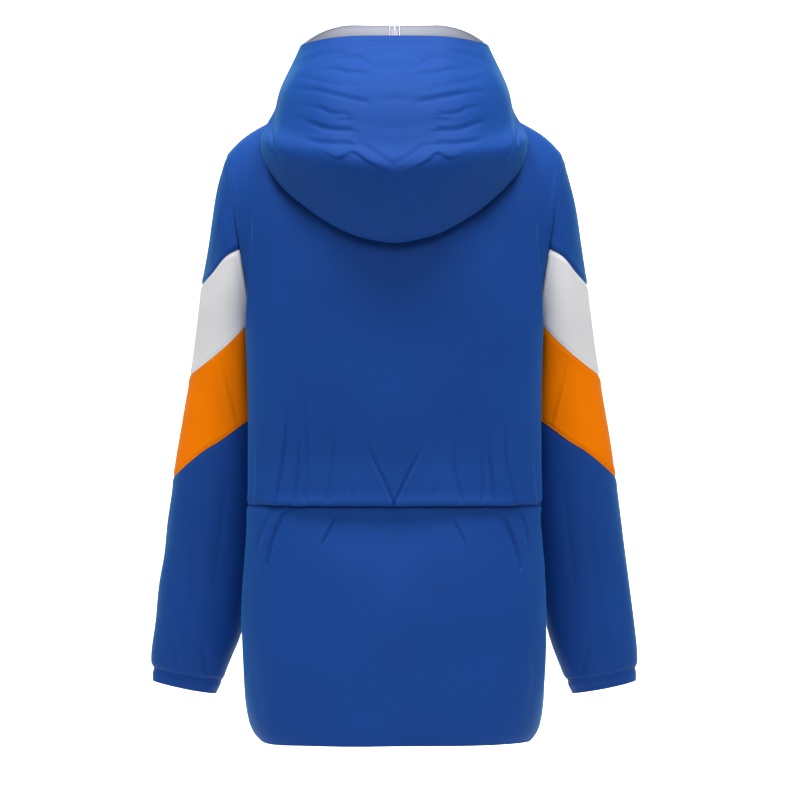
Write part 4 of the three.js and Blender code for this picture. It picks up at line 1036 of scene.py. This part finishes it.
def zip_line():
    """The strip's outer face up the centre front, from the hem to the slider, as [y, z]."""
    body = [(section(z, "front", np.array([0.0]))[0][1], z) for z in np.linspace(HEM_Z, UNDERARM_Z, 13)]
    breast = chest("front", np.array([0.0]), np.linspace(1, 0, 7)[1:])[:, 0, 1:].tolist()
    collar = hood(np.ones(10), np.linspace(0, 1, 11)[1:])[:, 1:].tolist()
    line = np.array([p for p in [*body, *breast, *collar] if p[1] < ZIP_CHAIN_END - 2])
    toward = np.array([RIM_FRONT, RIM_FRONT_Z]) - line[-1]
    end = line[-1] + toward * (ZIP_CHAIN_END - line[-1][1]) / toward[1]
    return np.concatenate([line, [end]])


line = zip_line()
way = np.gradient(line, axis=0)
way /= np.linalg.norm(way, axis=1, keepdims=True)
teeth_line = line + ZIP_CHAIN_RISE * np.stack([-way[:, 1], way[:, 0]], -1)
teeth_line = np.concatenate([np.zeros((len(line), 1)), teeth_line], 1)
tooth_tree = repeat_tree("tooth", moulded_teeth, True)
tooth_sizes = {"Pitch": 0.0015, "Long": 0.0018, "Wide": 0.0029, "Thick": 0.0012, "Aside": 0.0007}
teeth = repeated("zip_teeth", [teeth_line], tooth_tree, tooth_sizes)

# %% [markdown]
# ## Stage and light
# A product picture wants an even white ground and a large soft light from above, so that the hood
# shades the back and the sides of the body stay open. The stage is a floor that curves up behind.

# %% A pale stage that curves up behind the garment
def stage(front=1.3, behind=-5.0, floor=-1.3, wall=2.6, bend=1.2, wide=7.0):
    """A floor that bends up into a wall behind the garment."""
    angles = np.linspace(0, math.pi / 2, 24)
    profile = [(front, floor)] + [(behind - bend * math.sin(a), floor + bend * (1 - math.cos(a))) for a in angles]
    profile.append((behind - bend, wall))
    vertices = [(x, y, z) for y, z in profile for x in (-wide, wide)]
    faces = [(2 * i, 2 * i + 1, 2 * i + 3, 2 * i + 2) for i in range(len(profile) - 1)]
    mesh = bpy.data.meshes.new("stage")
    mesh.from_pydata(vertices, [], faces)
    mesh.polygons.foreach_set("use_smooth", [True] * len(mesh.polygons))
    material = bpy.data.materials.new("paper")
    material.use_nodes = True
    shader = material.node_tree.nodes["Principled BSDF"]
    shader.inputs["Base Color"].default_value = (0.93, 0.93, 0.93, 1)
    shader.inputs["Roughness"].default_value = 0.9
    mesh.materials.append(material)
    made = bpy.data.objects.new("stage", mesh)
    bpy.context.scene.collection.objects.link(made)
    return made


def lamp(name, place, aim, size, watts, colour=(1, 1, 1)):
    """A square soft light that points at a spot."""
    data = bpy.data.lights.new(name, "AREA")
    data.size = size
    data.energy = watts
    data.color = colour
    made = bpy.data.objects.new(name, data)
    made.location = place
    way = np.array(aim) - np.array(place)
    flat = math.hypot(way[0], way[1])
    made.rotation_euler = (math.atan2(flat, -way[2]), 0, math.atan2(-way[0], way[1]))
    bpy.context.scene.collection.objects.link(made)
    return made


stage()
lamp("high_left", (1.0, 0.8, 2.8), (0, 0, -0.3), 1.0, 90)
lamp("high_right", (-1.0, 0.8, 2.8), (0, 0, -0.3), 1.0, 90)
lamp("fill", (0.0, 4.0, 2.3), (0, 0, -0.4), 2.2, 95)
lamp("front", (0.0, -2.2, 2.0), (0, 0, -0.2), 1.6, 38)
lamp("backdrop", (0.0, -3.4, 2.6), (0, -6.2, -0.4), 2.5, 340)
world = bpy.data.worlds.new("studio")
world.use_nodes = True
sky = world.node_tree.nodes.new("ShaderNodeTexCoord")
height = world.node_tree.nodes.new("ShaderNodeSeparateXYZ")
fade = world.node_tree.nodes.new("ShaderNodeMapRange")
fade.inputs["From Min"].default_value, fade.inputs["From Max"].default_value = -0.5, 0.7
fade.inputs["To Min"].default_value, fade.inputs["To Max"].default_value = 0.07, 0.28
world.node_tree.links.new(sky.outputs["Generated"], height.inputs["Vector"])
world.node_tree.links.new(height.outputs["Z"], fade.inputs["Value"])
world.node_tree.links.new(fade.outputs["Result"], world.node_tree.nodes["Background"].inputs["Strength"])
world.node_tree.nodes["Background"].inputs["Color"].default_value = (1, 1, 1, 1)
bpy.context.scene.world = world
bpy.context.scene.view_settings.view_transform = "Standard"
